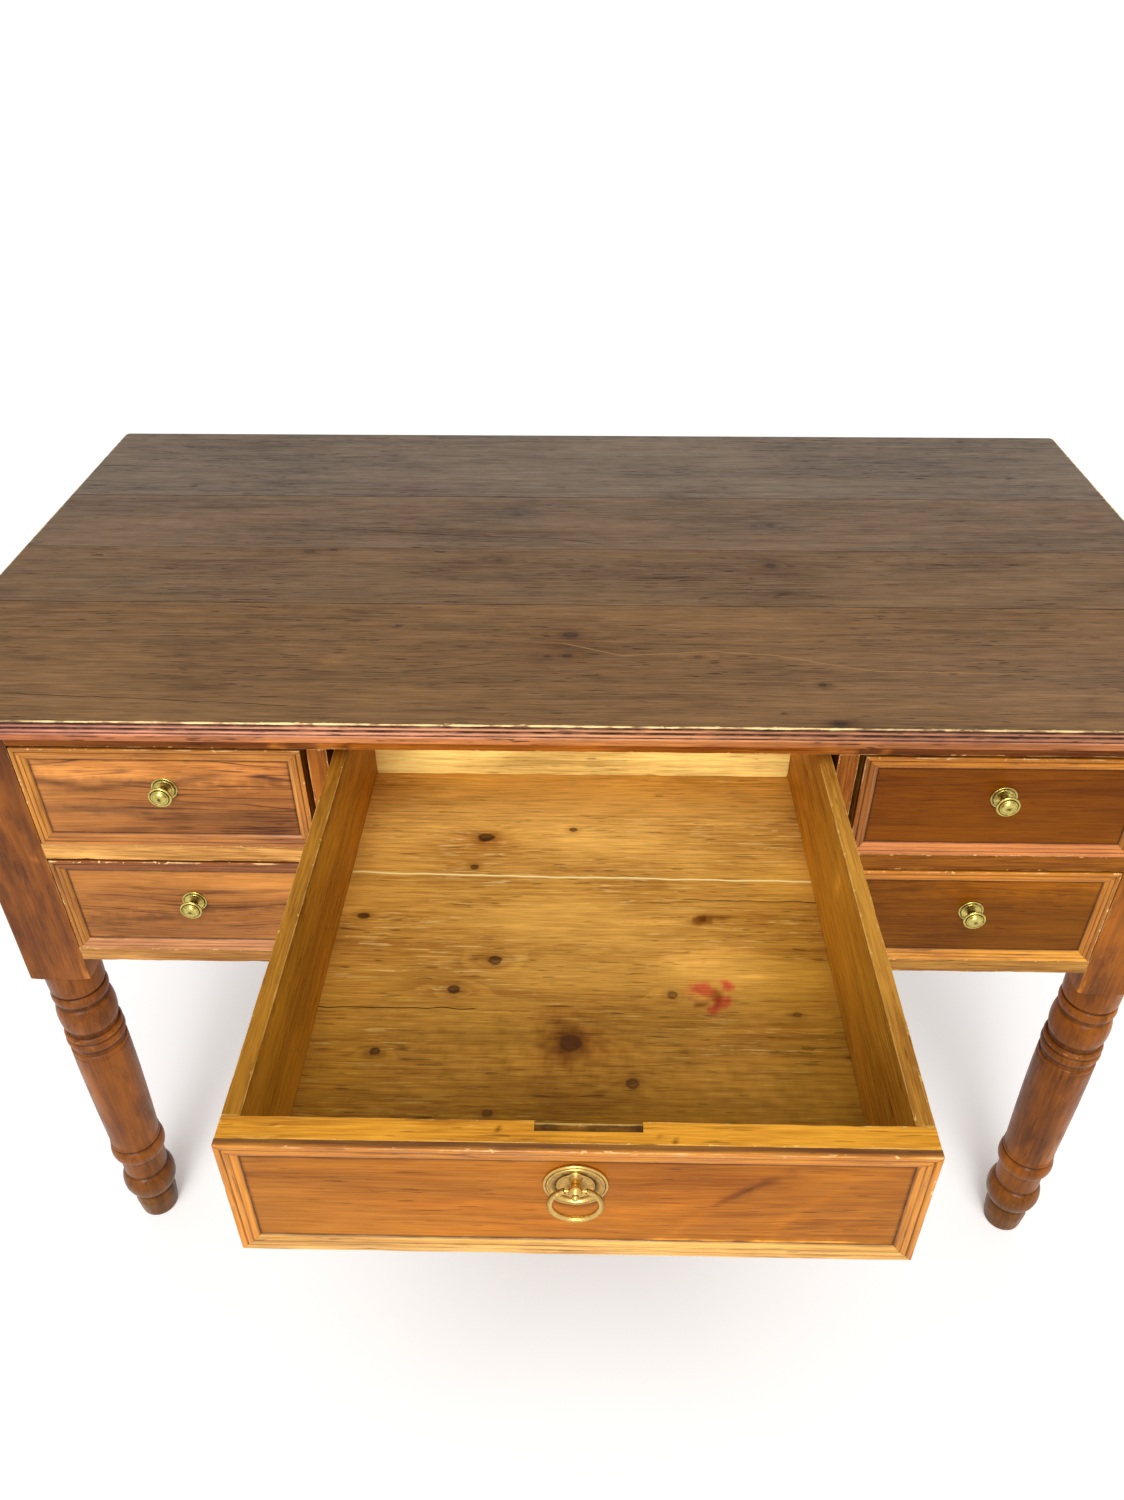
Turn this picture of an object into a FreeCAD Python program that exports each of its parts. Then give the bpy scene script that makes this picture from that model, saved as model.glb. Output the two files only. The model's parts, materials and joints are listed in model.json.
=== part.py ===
"""Kneehole writing desk: four turned legs, a plank top with a reeded edge and five drawers.

Millimetres, +Z up, origin on the floor under the middle of the top. The front of the desk faces -Y.
The wide middle drawer stands pulled out, as the desk is shown; the four bank drawers are shut.
The left half is modelled, and the right half is its mirror image.
"""
import FreeCAD, Part
import os
import re
from FreeCAD import Placement, Rotation, Vector

SIZES = {
    "desk_width": 1190, "desk_depth": 650, "desk_height": 782,
    # top
    "top_thickness": 20, "side_overhang": 32, "front_overhang": 20,
    "back_board_width": 193, "second_board_width": 132, "third_board_width": 120,
    "corner_radius": 6, "reed_radius": 1.1,
    "first_reed_drop": 2.4, "second_reed_drop": 7.2, "third_reed_drop": 11.4,
    # legs
    "leg_square": 62, "block_height": 318, "turning_outset": 2, "turning_forward": 1.5,
    # carcass
    "top_rail_height": 21, "upper_opening_height": 112.5, "middle_rail_height": 18.5,
    "lower_opening_height": 118.5, "bottom_rail_height": 17,
    "kneehole_width": 442, "post_width": 17.5, "partition_thickness": 12,
    "side_panel_thickness": 20, "back_panel_thickness": 18, "panel_inset": 3,
    "tenon_length": 18, "tenon_shoulder": 3, "tenon_cheek": 12,
    "panel_tenon_length": 15, "panel_tenon_thickness": 8, "panel_tenon_shoulder": 20,
    "post_tenon_length": 7, "post_tenon_thickness": 9,
    # runners, stops, kickers and the screws that hold the top
    "runner_bearing": 22, "guide_height": 25, "guide_gap": 1,
    "stop_length": 20, "stop_width": 14, "stop_height": 12, "stop_gap": 0.5,
    "kicker_width": 64,
    "screw_head_radius": 4, "screw_head_height": 3, "screw_radius": 2, "screw_bite": 12,
    # drawers
    "running_gap": 0.5, "front_top_gap": 1.5, "leg_side_gap": 1.5, "post_side_gap": 5.5,
    "middle_side_gap": 6.5, "front_proud": 1.5, "middle_pull_out": 390, "drawer_end_gap": 84.5,
    "core_thickness": 16, "panel_thickness": 2.7, "moulding_thickness": 5.9, "moulding_width": 13.4,
    "moulding_flat": 8.4, "moulding_groove_radius": 0.9, "moulding_groove_place": 4.4,
    "drawer_side_thickness": 12, "drawer_back_thickness": 12, "drawer_back_drop": 6,
    "drawer_bottom_thickness": 8, "bottom_rebate": 6,
    "tail_length": 10, "lock_width": 65, "lock_depth": 7.5, "lock_height": 2.6, "lock_offset": 7.5,
    # knobs
    "knob_radius": 10.6, "knob_neck_radius": 3.6, "knob_reach": 17, "knob_rim_radius": 1.3,
    "knob_dome_rise": 2.6, "knob_plate_radius": 11.8, "knob_plate_thickness": 1.6, "knob_step_rise": 1.1,
    "knob_shank_radius": 2.2, "knob_shank_length": 12, "knob_flat_radius": 6.7,
    "upper_knob_rise": 10.3, "lower_knob_rise": 6.3,
    # ring pull
    "pull_drop": 35.6, "pull_plate_radius": 20, "pull_plate_thickness": 1.6, "pull_rim_radius": 1.3,
    "pull_second_rim_radius": 16.9, "pull_inner_radius": 11,
    "pull_post_rise": 8.5, "pull_post_radius": 3.4, "pull_reach": 10.7,
    "pull_head_radius": 4.4, "pull_ball_radius": 2.3, "pull_shank_radius": 2.5, "pull_shank_end_gap": 0.8,
    "ring_radius": 15.6, "ring_wire_radius": 1.9, "ring_end_gap": 0.3,
    "ring_pin_radius": 0.9, "ring_pin_bore": 1.25, "ring_pin_inset": 2.2,
}

# Shares of a leg's turned height (places) and of its square (radii, half heights), from the floor up.
FOOT_SOLE_RADIUS_SHARE = 0.345
FOOT_RADIUS_SHARE = 0.39
FOOT_WIDEST_SHARE = 0.06
FOOT_NECK_RADIUS_SHARE = 0.34
FOOT_NECK_TOP_SHARE = 0.103
BALL_RADIUS_SHARE = 0.495
LOWER_BALL_PLACE_SHARE = 0.144
LOWER_BALL_HALF_SHARE = 0.3275
LOWER_NECK_RADIUS_SHARE = 0.41
LOWER_NECK_TOP_SHARE = 0.28
LOWER_RING_PLACE_SHARE = 0.288
LOWER_RING_RADIUS_SHARE = 0.502
LOWER_RING_HALF_SHARE = 0.195
LOWER_LINE_PLACE_SHARE = 0.322
SHAFT_BOTTOM_SHARE = 0.329
SHAFT_BOTTOM_RADIUS_SHARE = 0.457
SHAFT_TOP_SHARE = 0.713
SHAFT_TOP_RADIUS_SHARE = 0.492
LINE_PLACE_SHARE = 0.72
LINE_RADIUS_SHARE = 0.494
LINE_HALF_SHARE = 0.0418
UPPER_RING_PLACE_SHARE = 0.759
UPPER_RING_RADIUS_SHARE = 0.505
UPPER_RING_HALF_SHARE = 0.1533
UPPER_CORE_RADIUS_SHARE = 0.44
UPPER_BALL_PLACE_SHARE = 0.8365
UPPER_BALL_HALF_SHARE = 0.2787
COLLAR_PLACE_SHARE = 0.905
COLLAR_RADIUS_SHARE = 0.475
COLLAR_HALF_SHARE = 0.1115
SHOULDER_BOTTOM_SHARE = 0.936
SHOULDER_RADIUS_SHARE = 0.472
SHOULDER_TOP_RADIUS_SHARE = 0.466
TAILS_PER_CORNER = 3
TAIL_ROOT_SHARE = 0.52
TAIL_END_SHARE = 0.74

doc = FreeCAD.newDocument("writing_desk")
sheet = doc.addObject("Spreadsheet::Sheet", "Sizes")
for row, (alias, value) in enumerate(SIZES.items(), start=1):
    sheet.set(f"A{row}", alias)
    sheet.set(f"B{row}", str(value))
    sheet.setAlias(f"B{row}", alias)
doc.recompute()

# Levels and faces of the left half, written in the named sizes.
TOP_UNDER = "(desk_height - top_thickness)"
OPENING_TOP = f"({TOP_UNDER} - top_rail_height)"
UPPER_FLOOR = f"({OPENING_TOP} - upper_opening_height)"
MIDDLE_UNDER = f"({UPPER_FLOOR} - middle_rail_height)"
LOWER_FLOOR = f"({MIDDLE_UNDER} - lower_opening_height)"
CARCASS_UNDER = f"({LOWER_FLOOR} - bottom_rail_height)"
BLOCK_UNDER = f"({TOP_UNDER} - block_height)"
FRONT = "(front_overhang - desk_depth / 2)"
BACK = "(desk_depth / 2 - front_overhang)"
RAIL_BACK = f"({FRONT} + leg_square)"
BACK_BLOCK = f"({BACK} - leg_square)"
BACK_PANEL = f"({BACK} - panel_inset - back_panel_thickness)"
BLOCK_OUT = "(side_overhang - desk_width / 2)"
BLOCK_IN = f"({BLOCK_OUT} + leg_square)"
SIDE_PANEL = f"({BLOCK_OUT} + panel_inset)"
SIDE_PANEL_IN = f"({SIDE_PANEL} + side_panel_thickness)"
POST_IN = "(-kneehole_width / 2)"
POST_OUT = f"({POST_IN} - post_width)"
PARTITION_OUT = f"({POST_IN} - (post_width + partition_thickness) / 2)"
PARTITION_IN = f"({PARTITION_OUT} + partition_thickness)"
BANK_LEFT = f"({BLOCK_IN} + leg_side_gap)"
BANK_WIDTH = f"({POST_OUT} - {BLOCK_IN} - leg_side_gap - post_side_gap)"
BANK_RIGHT = f"({BANK_LEFT} + {BANK_WIDTH})"
MIDDLE_WIDTH = "(kneehole_width - 2 * middle_side_gap)"
MIDDLE_LEFT = f"(-{MIDDLE_WIDTH} / 2)"
SHUT_FACE = f"({FRONT} - front_proud)"
OPEN_FACE = f"({SHUT_FACE} - middle_pull_out)"
DRAWER_LENGTH = f"({BACK_PANEL} - {SHUT_FACE} - drawer_end_gap)"
NODES = []


def sized(expression):
    """Write each named size in an expression as its cell in the sheet."""
    return re.sub(r"[a-z_]+", lambda word: f"Sizes.{word[0]}" if word[0] in SIZES else word[0], expression)


def bind(item, **expressions):
    """Tie properties of an object to the sheet; x, y and z are its place."""
    for name, expression in expressions.items():
        path = f"Placement.Base.{name}" if name in ("x", "y", "z") else name
        item.setExpression(path, sized(expression))
    return item


def box(name, x, y, z, length, width, height):
    """A board with its lowest corner at x, y, z."""
    item = doc.addObject("Part::Box", name)
    return bind(item, x=x, y=y, z=z, Length=length, Width=width, Height=height)


def between(name, x, y, z):
    """A board between two faces in each direction, each given as (low, high)."""
    sides = [f"{high} - ({low})" for low, high in (x, y, z)]
    return box(name, x[0], y[0], z[0], *sides)


def rod(name, x, y, z, radius, length, turn=None):
    """A round rod from x, y, z, along +Z unless turned."""
    item = doc.addObject("Part::Cylinder", name)
    if turn:
        item.Placement = Placement(Vector(), turn)
    return bind(item, x=x, y=y, z=z, Radius=radius, Height=length)


def joined(name, pieces):
    item = doc.addObject("Part::MultiFuse", name)
    item.Shapes = pieces
    item.Refine = True
    return item


def group(name, pieces):
    item = doc.addObject("Part::Compound", name)
    item.Links = pieces
    return item


def cut(name, base, tools):
    """The base less all the tools."""
    item = doc.addObject("Part::Cut", name)
    item.Base = base
    item.Tool = tools[0] if len(tools) == 1 else group(f"{name}_tools", tools)
    return item


def mirrored(name, source, normal=Vector(1, 0, 0)):
    item = doc.addObject("Part::Mirroring", name)
    item.Source = source
    item.Normal = normal
    return item


def node(name, item):
    """Keep an object as the sub-part of this name."""
    item.Label = name
    NODES.append(item)
    return item


ALONG_X = Rotation(Vector(0, 1, 0), 90)
ALONG_Y = Rotation(Vector(1, 0, 0), -90)
TO_FRONT = Rotation(Vector(1, 0, 0), 90)
ACROSS_Y = Vector(0, 1, 0)


class Lathe:
    """A turned piece: round sections along one axis, from a start point."""

    def __init__(self, name, x, y, z, to_front=False):
        self.name = name
        self.start = (x, y, z)
        self.to_front = to_front
        self.pieces = []

    def put(self, kind, along, **sizes):
        item = doc.addObject(kind, f"{self.name}_{len(self.pieces)}")
        x, y, z = self.start
        if self.to_front:
            item.Placement = Placement(Vector(), TO_FRONT)
            bind(item, x=x, y=f"{y} - ({along})", z=z, **sizes)
        else:
            bind(item, x=x, y=y, z=f"{z} + {along}", **sizes)
        self.pieces.append(item)

    def cone(self, low, high, radius_low, radius_high):
        self.put("Part::Cone", low, Radius1=radius_low, Radius2=radius_high, Height=f"{high} - ({low})")

    def disc(self, low, high, radius):
        self.put("Part::Cylinder", low, Radius=radius, Height=f"{high} - ({low})")

    def ring(self, middle, radius, half):
        self.put("Part::Torus", middle, Radius1=f"{radius} - {half}", Radius2=half)

    def bead(self, middle, radius, half):
        self.ring(middle, radius, half)
        self.disc(f"{middle} - {half}", f"{middle} + {half}", f"{radius} - {half}")

    def ball(self, middle, radius, half):
        angle = f"asin({half} / ({radius}))"
        self.put("Part::Sphere", middle, Radius=radius, Angle1=f"-{angle}", Angle2=angle)

    def finish(self):
        return joined(self.name, self.pieces)


def leg_blank():
    """Front left leg before its mortises: a square block over a turned leg."""
    turned = f"{BLOCK_UNDER}"
    high = lambda share: f"{share} * {turned}"
    wide = lambda share: f"{share} * leg_square"
    middle_x = f"({BLOCK_OUT} + leg_square / 2 - turning_outset)"
    middle_y = f"({FRONT} + leg_square / 2 - turning_forward)"
    lathe = Lathe("leg_turning", middle_x, middle_y, "0")
    foot, ball = high(FOOT_WIDEST_SHARE), wide(BALL_RADIUS_SHARE)
    lathe.cone("0", foot, wide(FOOT_SOLE_RADIUS_SHARE), wide(FOOT_RADIUS_SHARE))
    lathe.cone(foot, high(FOOT_NECK_TOP_SHARE), wide(FOOT_RADIUS_SHARE), wide(FOOT_NECK_RADIUS_SHARE))
    lathe.disc(foot, high(LOWER_BALL_PLACE_SHARE), wide(FOOT_NECK_RADIUS_SHARE))
    lathe.ball(high(LOWER_BALL_PLACE_SHARE), ball, wide(LOWER_BALL_HALF_SHARE))
    neck = wide(LOWER_NECK_RADIUS_SHARE)
    lathe.disc(high(LOWER_BALL_PLACE_SHARE), high(LOWER_NECK_TOP_SHARE), neck)
    lathe.bead(high(LOWER_RING_PLACE_SHARE), wide(LOWER_RING_RADIUS_SHARE), wide(LOWER_RING_HALF_SHARE))
    lathe.bead(high(LOWER_LINE_PLACE_SHARE), wide(LINE_RADIUS_SHARE), wide(LINE_HALF_SHARE))
    lathe.disc(high(LOWER_RING_PLACE_SHARE), high(SHAFT_BOTTOM_SHARE), wide(UPPER_CORE_RADIUS_SHARE))
    lathe.cone(high(SHAFT_BOTTOM_SHARE), high(SHAFT_TOP_SHARE), wide(SHAFT_BOTTOM_RADIUS_SHARE),
               wide(SHAFT_TOP_RADIUS_SHARE))
    lathe.bead(high(LINE_PLACE_SHARE), wide(LINE_RADIUS_SHARE), wide(LINE_HALF_SHARE))
    lathe.disc(high(SHAFT_TOP_SHARE), turned, wide(UPPER_CORE_RADIUS_SHARE))
    lathe.bead(high(UPPER_RING_PLACE_SHARE), wide(UPPER_RING_RADIUS_SHARE), wide(UPPER_RING_HALF_SHARE))
    lathe.ball(high(UPPER_BALL_PLACE_SHARE), ball, wide(UPPER_BALL_HALF_SHARE))
    lathe.bead(high(COLLAR_PLACE_SHARE), wide(COLLAR_RADIUS_SHARE), wide(COLLAR_HALF_SHARE))
    lathe.cone(high(SHOULDER_BOTTOM_SHARE), turned, wide(SHOULDER_RADIUS_SHARE),
               wide(SHOULDER_TOP_RADIUS_SHARE))
    block = between("leg_block", (BLOCK_OUT, BLOCK_IN), (FRONT, RAIL_BACK), (BLOCK_UNDER, TOP_UNDER))
    return joined("leg_blank", [block, lathe.finish()])


def tenon(name, x, floor, height):
    """A tenon of a front rail: x is its (low, high), and the rail lies from floor up."""
    return between(name, x, (f"{FRONT} + tenon_cheek", f"{RAIL_BACK} - tenon_cheek"),
                   (f"{floor} + tenon_shoulder", f"{floor} + {height} - tenon_shoulder"))


def front_rails():
    """The rails and posts that frame the drawers, with their tenons."""
    deep = (FRONT, RAIL_BACK)
    leg_end = (f"{BLOCK_IN} - tenon_length", BLOCK_IN)
    other_leg_end = (f"-{BLOCK_IN}", f"-{BLOCK_IN} + tenon_length")
    top = joined("top_rail", [
        between("top_rail_board", (BLOCK_IN, f"-{BLOCK_IN}"), deep, (OPENING_TOP, TOP_UNDER)),
        tenon("top_rail_tenon_left", leg_end, OPENING_TOP, "top_rail_height"),
        tenon("top_rail_tenon_right", other_leg_end, OPENING_TOP, "top_rail_height")])
    bottom = joined("bottom_rail", [
        between("bottom_rail_board", (BLOCK_IN, POST_IN), deep, (CARCASS_UNDER, LOWER_FLOOR)),
        tenon("bottom_rail_tenon", leg_end, CARCASS_UNDER, "bottom_rail_height")])
    middle = joined("middle_rail", [
        between("middle_rail_board", (BLOCK_IN, POST_OUT), deep, (MIDDLE_UNDER, UPPER_FLOOR)),
        tenon("middle_rail_tenon", leg_end, MIDDLE_UNDER, "middle_rail_height"),
        tenon("middle_rail_post_tenon", (POST_OUT, f"{POST_OUT} + post_tenon_length"), MIDDLE_UNDER,
              "middle_rail_height")])
    centre = joined("centre_rail", [
        between("centre_rail_board", (POST_IN, f"-{POST_IN}"), deep, (MIDDLE_UNDER, UPPER_FLOOR)),
        tenon("centre_rail_tenon_left", (f"{POST_IN} - post_tenon_length", POST_IN), MIDDLE_UNDER,
              "middle_rail_height"),
        tenon("centre_rail_tenon_right", (f"-{POST_IN}", f"-{POST_IN} + post_tenon_length"), MIDDLE_UNDER,
              "middle_rail_height")])
    tenon_x = (f"{POST_IN} - (post_width + post_tenon_thickness) / 2",
               f"{POST_IN} - (post_width - post_tenon_thickness) / 2")
    tenon_y = (f"{FRONT} + tenon_cheek", f"{RAIL_BACK} - tenon_cheek")
    post = joined("post", [
        between("post_board", (POST_OUT, POST_IN), deep, (LOWER_FLOOR, OPENING_TOP)),
        between("post_tenons", tenon_x, tenon_y,
                (f"{LOWER_FLOOR} - post_tenon_length", f"{OPENING_TOP} + post_tenon_length"))])
    post = cut("post_mortised", post, [middle, centre])
    return top, middle, centre, bottom, post


def carcass():
    """Legs, rails, posts, panels and partitions."""
    top, middle, centre, bottom, post = front_rails()
    other_post = mirrored("post_right", post)
    side = joined("side_panel", [
        between("side_panel_board", (SIDE_PANEL, SIDE_PANEL_IN), (RAIL_BACK, BACK_BLOCK),
                (CARCASS_UNDER, TOP_UNDER)),
        between("side_panel_tenons",
                (f"{SIDE_PANEL} + (side_panel_thickness - panel_tenon_thickness) / 2",
                 f"{SIDE_PANEL} + (side_panel_thickness + panel_tenon_thickness) / 2"),
                (f"{RAIL_BACK} - panel_tenon_length", f"{BACK_BLOCK} + panel_tenon_length"),
                (f"{CARCASS_UNDER} + panel_tenon_shoulder", f"{TOP_UNDER} - panel_tenon_shoulder"))])
    back = joined("back_panel", [
        between("back_panel_board", (BLOCK_IN, f"-{BLOCK_IN}"), (BACK_PANEL, f"{BACK} - panel_inset"),
                (CARCASS_UNDER, TOP_UNDER)),
        between("back_panel_tenons",
                (f"{BLOCK_IN} - panel_tenon_length", f"panel_tenon_length - {BLOCK_IN}"),
                (f"{BACK_PANEL} + (back_panel_thickness - panel_tenon_thickness) / 2",
                 f"{BACK_PANEL} + (back_panel_thickness + panel_tenon_thickness) / 2"),
                (f"{CARCASS_UNDER} + panel_tenon_shoulder", f"{TOP_UNDER} - panel_tenon_shoulder"))])
    partition = between("partition", (PARTITION_OUT, PARTITION_IN), (RAIL_BACK, BACK_PANEL),
                        (CARCASS_UNDER, OPENING_TOP))
    blank = leg_blank()
    front_leg = cut("front_leg", blank, [top, middle, bottom, side])
    back_leg = cut("back_leg", mirrored("back_leg_blank", blank, ACROSS_Y), [side, back])
    node("front_left_leg", front_leg)
    node("front_right_leg", mirrored("front_leg_right", front_leg))
    node("back_left_leg", back_leg)
    node("back_right_leg", mirrored("back_leg_right", back_leg))
    node("top_front_rail", cut("top_rail_mortised", top, [post, other_post]))
    bottom = cut("bottom_rail_mortised", bottom, [post])
    for name, item in (("middle_rail", middle), ("bottom_rail", bottom), ("side_panel", side),
                       ("partition", partition)):
        node(f"left_{name}", item)
        node(f"right_{name}", mirrored(f"{name}_right", item))
    node("left_post", post)
    node("right_post", other_post)
    node("centre_rail", centre)
    node("back_panel", back)


def runner(name, x, guide_x, stop_x, level, height, back):
    """A rebated runner with its guide lip, and the stop that the shut drawer meets."""
    deep = (RAIL_BACK, back)
    bearing = between(f"{name}_bearing", x, deep, (f"{level} - {height}", level))
    guide = between(f"{name}_guide", guide_x, deep, (level, f"{level} + guide_height"))
    stop_y = f"{SHUT_FACE} + {DRAWER_LENGTH} + stop_gap"
    stop = between(f"{name}_stop", stop_x, (stop_y, f"{stop_y} + stop_length"),
                   (level, f"{level} + stop_height"))
    return [joined(name, [bearing, guide]), stop]


def runners_and_kickers():
    """What the drawers run on and under."""
    bank = []
    for level_name, level, height in (("upper", UPPER_FLOOR, "middle_rail_height"),
                                      ("lower", LOWER_FLOOR, "bottom_rail_height")):
        outer_edge = f"({BANK_LEFT} + runner_bearing)"
        inner_edge = f"({BANK_RIGHT} - runner_bearing)"
        bank += runner(f"{level_name}_outer_runner", (SIDE_PANEL_IN, outer_edge), (SIDE_PANEL_IN, BLOCK_IN),
                       (BLOCK_IN, f"{BLOCK_IN} + stop_width"), level, height, BACK_BLOCK)
        inner_guide = f"({BANK_RIGHT} + guide_gap)"
        bank += runner(f"{level_name}_inner_runner", (inner_edge, PARTITION_OUT),
                       (inner_guide, PARTITION_OUT), (f"{inner_guide} - stop_width", inner_guide), level,
                       height, BACK_PANEL)
    middle_guide = f"({MIDDLE_LEFT} - guide_gap)"
    middle = runner("centre_left_runner", (PARTITION_IN, f"{MIDDLE_LEFT} + runner_bearing"),
                    (PARTITION_IN, middle_guide), (middle_guide, f"{middle_guide} + stop_width"),
                    UPPER_FLOOR, "middle_rail_height", BACK_PANEL)
    left = node("left_bank_runners", group("bank_runners", bank))
    node("right_bank_runners", mirrored("bank_runners_right", left))
    both = middle + [mirrored(f"{item.Name}_right", item) for item in middle]
    node("centre_runners", group("middle_runners", both))

    outer = between("outer_kicker", (SIDE_PANEL_IN, f"{SIDE_PANEL_IN} + kicker_width"),
                    (RAIL_BACK, BACK_BLOCK), (OPENING_TOP, TOP_UNDER))
    partition_middle = f"({PARTITION_OUT} + partition_thickness / 2)"
    inner = between("inner_kicker", (f"{partition_middle} - kicker_width / 2",
                                     f"{partition_middle} + kicker_width / 2"),
                    (RAIL_BACK, BACK_PANEL), (OPENING_TOP, TOP_UNDER))
    screw_x = (f"{SIDE_PANEL_IN} + kicker_width / 2", f"{partition_middle} + kicker_width / 4")
    return [outer, inner], screw_x


def round_corners(board, at_back):
    """Round a board's two upright edges on its back or its front."""
    doc.recompute()
    box = board.Shape.BoundBox
    outer = box.YMax if at_back else box.YMin
    radius = float(sheet.get("corner_radius"))
    rounded = doc.addObject("Part::Fillet", f"{board.Name}_rounded")
    rounded.Base = board
    rounded.Edges = [(number, radius, radius) for number, edge in enumerate(board.Shape.Edges, start=1)
                     if edge.tangentAt(edge.FirstParameter).z and edge.CenterOfMass.y == outer]
    return rounded


def top_and_screws():
    """Four boards glued edge to edge, reeded round the front and sides, and screwed down from below."""
    kickers, screw_x = runners_and_kickers()
    edge = "desk_depth / 2"
    back_joint = f"({edge} - back_board_width)"
    second_joint = f"({back_joint} - second_board_width)"
    third_joint = f"({second_joint} - third_board_width)"
    boards = {"top_back_board": (back_joint, edge), "top_second_board": (second_joint, back_joint),
              "top_third_board": (third_joint, second_joint), "top_front_board": (f"-{edge}", third_joint)}
    reeds = []
    for number, drop in enumerate(("first_reed_drop", "second_reed_drop", "third_reed_drop")):
        level = f"desk_height - {drop}"
        reeds.append(rod(f"front_reed_{number}", "-desk_width / 2", f"-{edge}", level, "reed_radius",
                         "desk_width", ALONG_X))
        for side, sign in (("left", "-"), ("right", "")):
            reeds.append(rod(f"{side}_reed_{number}", f"{sign}desk_width / 2", f"-{edge}", level,
                             "reed_radius", "desk_depth", ALONG_Y))
    screws = []
    for number, (name, (low, high)) in enumerate(boards.items()):
        held_from = RAIL_BACK if name == "top_front_board" else low
        for place, x in enumerate(screw_x):
            y = f"({held_from} + {high}) / 2"
            name = f"screw_{number}_{place}"
            head = rod(f"{name}_head", x, y, OPENING_TOP, "screw_head_radius", "screw_head_height")
            shank = rod(f"{name}_shank", x, y, OPENING_TOP, "screw_radius", "top_rail_height + screw_bite")
            screw = joined(name, [head, shank])
            screws += [screw, mirrored(f"{name}_right", screw)]
    screws = node("top_screws", group("screws", screws))
    kickers += [mirrored(f"{item.Name}_right", item) for item in kickers]
    node("drawer_kickers", cut("kickers_bored", group("kickers", kickers), [screws]))
    for name, (low, high) in boards.items():
        board = between(f"{name}_blank", ("-desk_width / 2", "desk_width / 2"), (low, high),
                        (TOP_UNDER, "desk_height"))
        if name in ("top_back_board", "top_front_board"):
            board = round_corners(board, at_back=name == "top_back_board")
        node(name, cut(name, board, reeds + [screws]))


def wedge(name, place, base, tip, height, turn=None):
    """A prism from a base rectangle to a tip rectangle, each (x low, x high, z low, z high)."""
    item = doc.addObject("Part::Wedge", name)
    if turn:
        item.Placement = Placement(Vector(), turn)
    bind(item, Ymin="0", Ymax=height, Xmin=base[0], Xmax=base[1], Zmin=base[2], Zmax=base[3],
         X2min=tip[0], X2max=tip[1], Z2min=tip[2], Z2max=tip[3])
    return bind(item, x=place[0], y=place[1], z=place[2])


def mouldings(name, left, width, bottom, height, face):
    """Four mitred strips round a drawer front: a grooved flat, then a slope down to the panel."""
    outer = box(f"{name}_outer", left, face, bottom, width, "moulding_thickness", height)
    flat, inner = "moulding_flat", "moulding_width"
    slope = wedge(f"{name}_slope", (left, face, bottom),
                  (flat, f"{width} - {flat}", flat, f"{height} - {flat}"),
                  (inner, f"{width} - {inner}", inner, f"{height} - {inner}"),
                  "moulding_thickness - panel_thickness")
    well = box(f"{name}_well", f"{left} + {inner}", face, f"{bottom} + {inner}", f"{width} - 2 * {inner}",
               "moulding_thickness", f"{height} - 2 * {inner}")
    groove, radius = "moulding_groove_place", "moulding_groove_radius"
    reach_x, reach_z = f"{width} - 2 * {groove}", f"{height} - 2 * {groove}"
    near_x, near_z = f"{left} + {groove}", f"{bottom} + {groove}"
    far_x, far_z = f"{left} + {width} - {groove}", f"{bottom} + {height} - {groove}"
    grooves = [rod(f"{name}_groove_low", near_x, face, near_z, radius, reach_x, ALONG_X),
               rod(f"{name}_groove_high", near_x, face, far_z, radius, reach_x, ALONG_X),
               rod(f"{name}_groove_left", near_x, face, near_z, radius, reach_z),
               rod(f"{name}_groove_right", far_x, face, near_z, radius, reach_z)]
    frame = cut(f"{name}_frame", outer, [slope, well] + grooves)
    strips = []
    deep = "moulding_thickness"
    # Each mitre prism stands on its strip's outer edge and narrows by one moulding width on both ends.
    mitres = {
        "bottom": (width, (left, f"{face} + {deep}", bottom), Rotation(Vector(1, 0, 0), 90)),
        "top": (width, (left, face, f"{bottom} + {height}"), Rotation(Vector(1, 0, 0), -90)),
        "left": (height, (left, face, bottom), Rotation(Vector(1, 1, 1), 240)),
        "right": (height, (f"{left} + {width}", f"{face} + {deep}", bottom),
                  Rotation(Vector(-1, 1, -1), 240)),
    }
    for side, (run, place, turn) in mitres.items():
        mitre = wedge(f"{name}_{side}_mitre", place, ("0", run, "0", deep),
                      (inner, f"{run} - {inner}", "0", deep), inner, turn)
        strip = doc.addObject("Part::Common", f"{name}_{side}_strip")
        strip.Base = frame
        strip.Tool = mitre
        strips.append(strip)
    return strips


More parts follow.
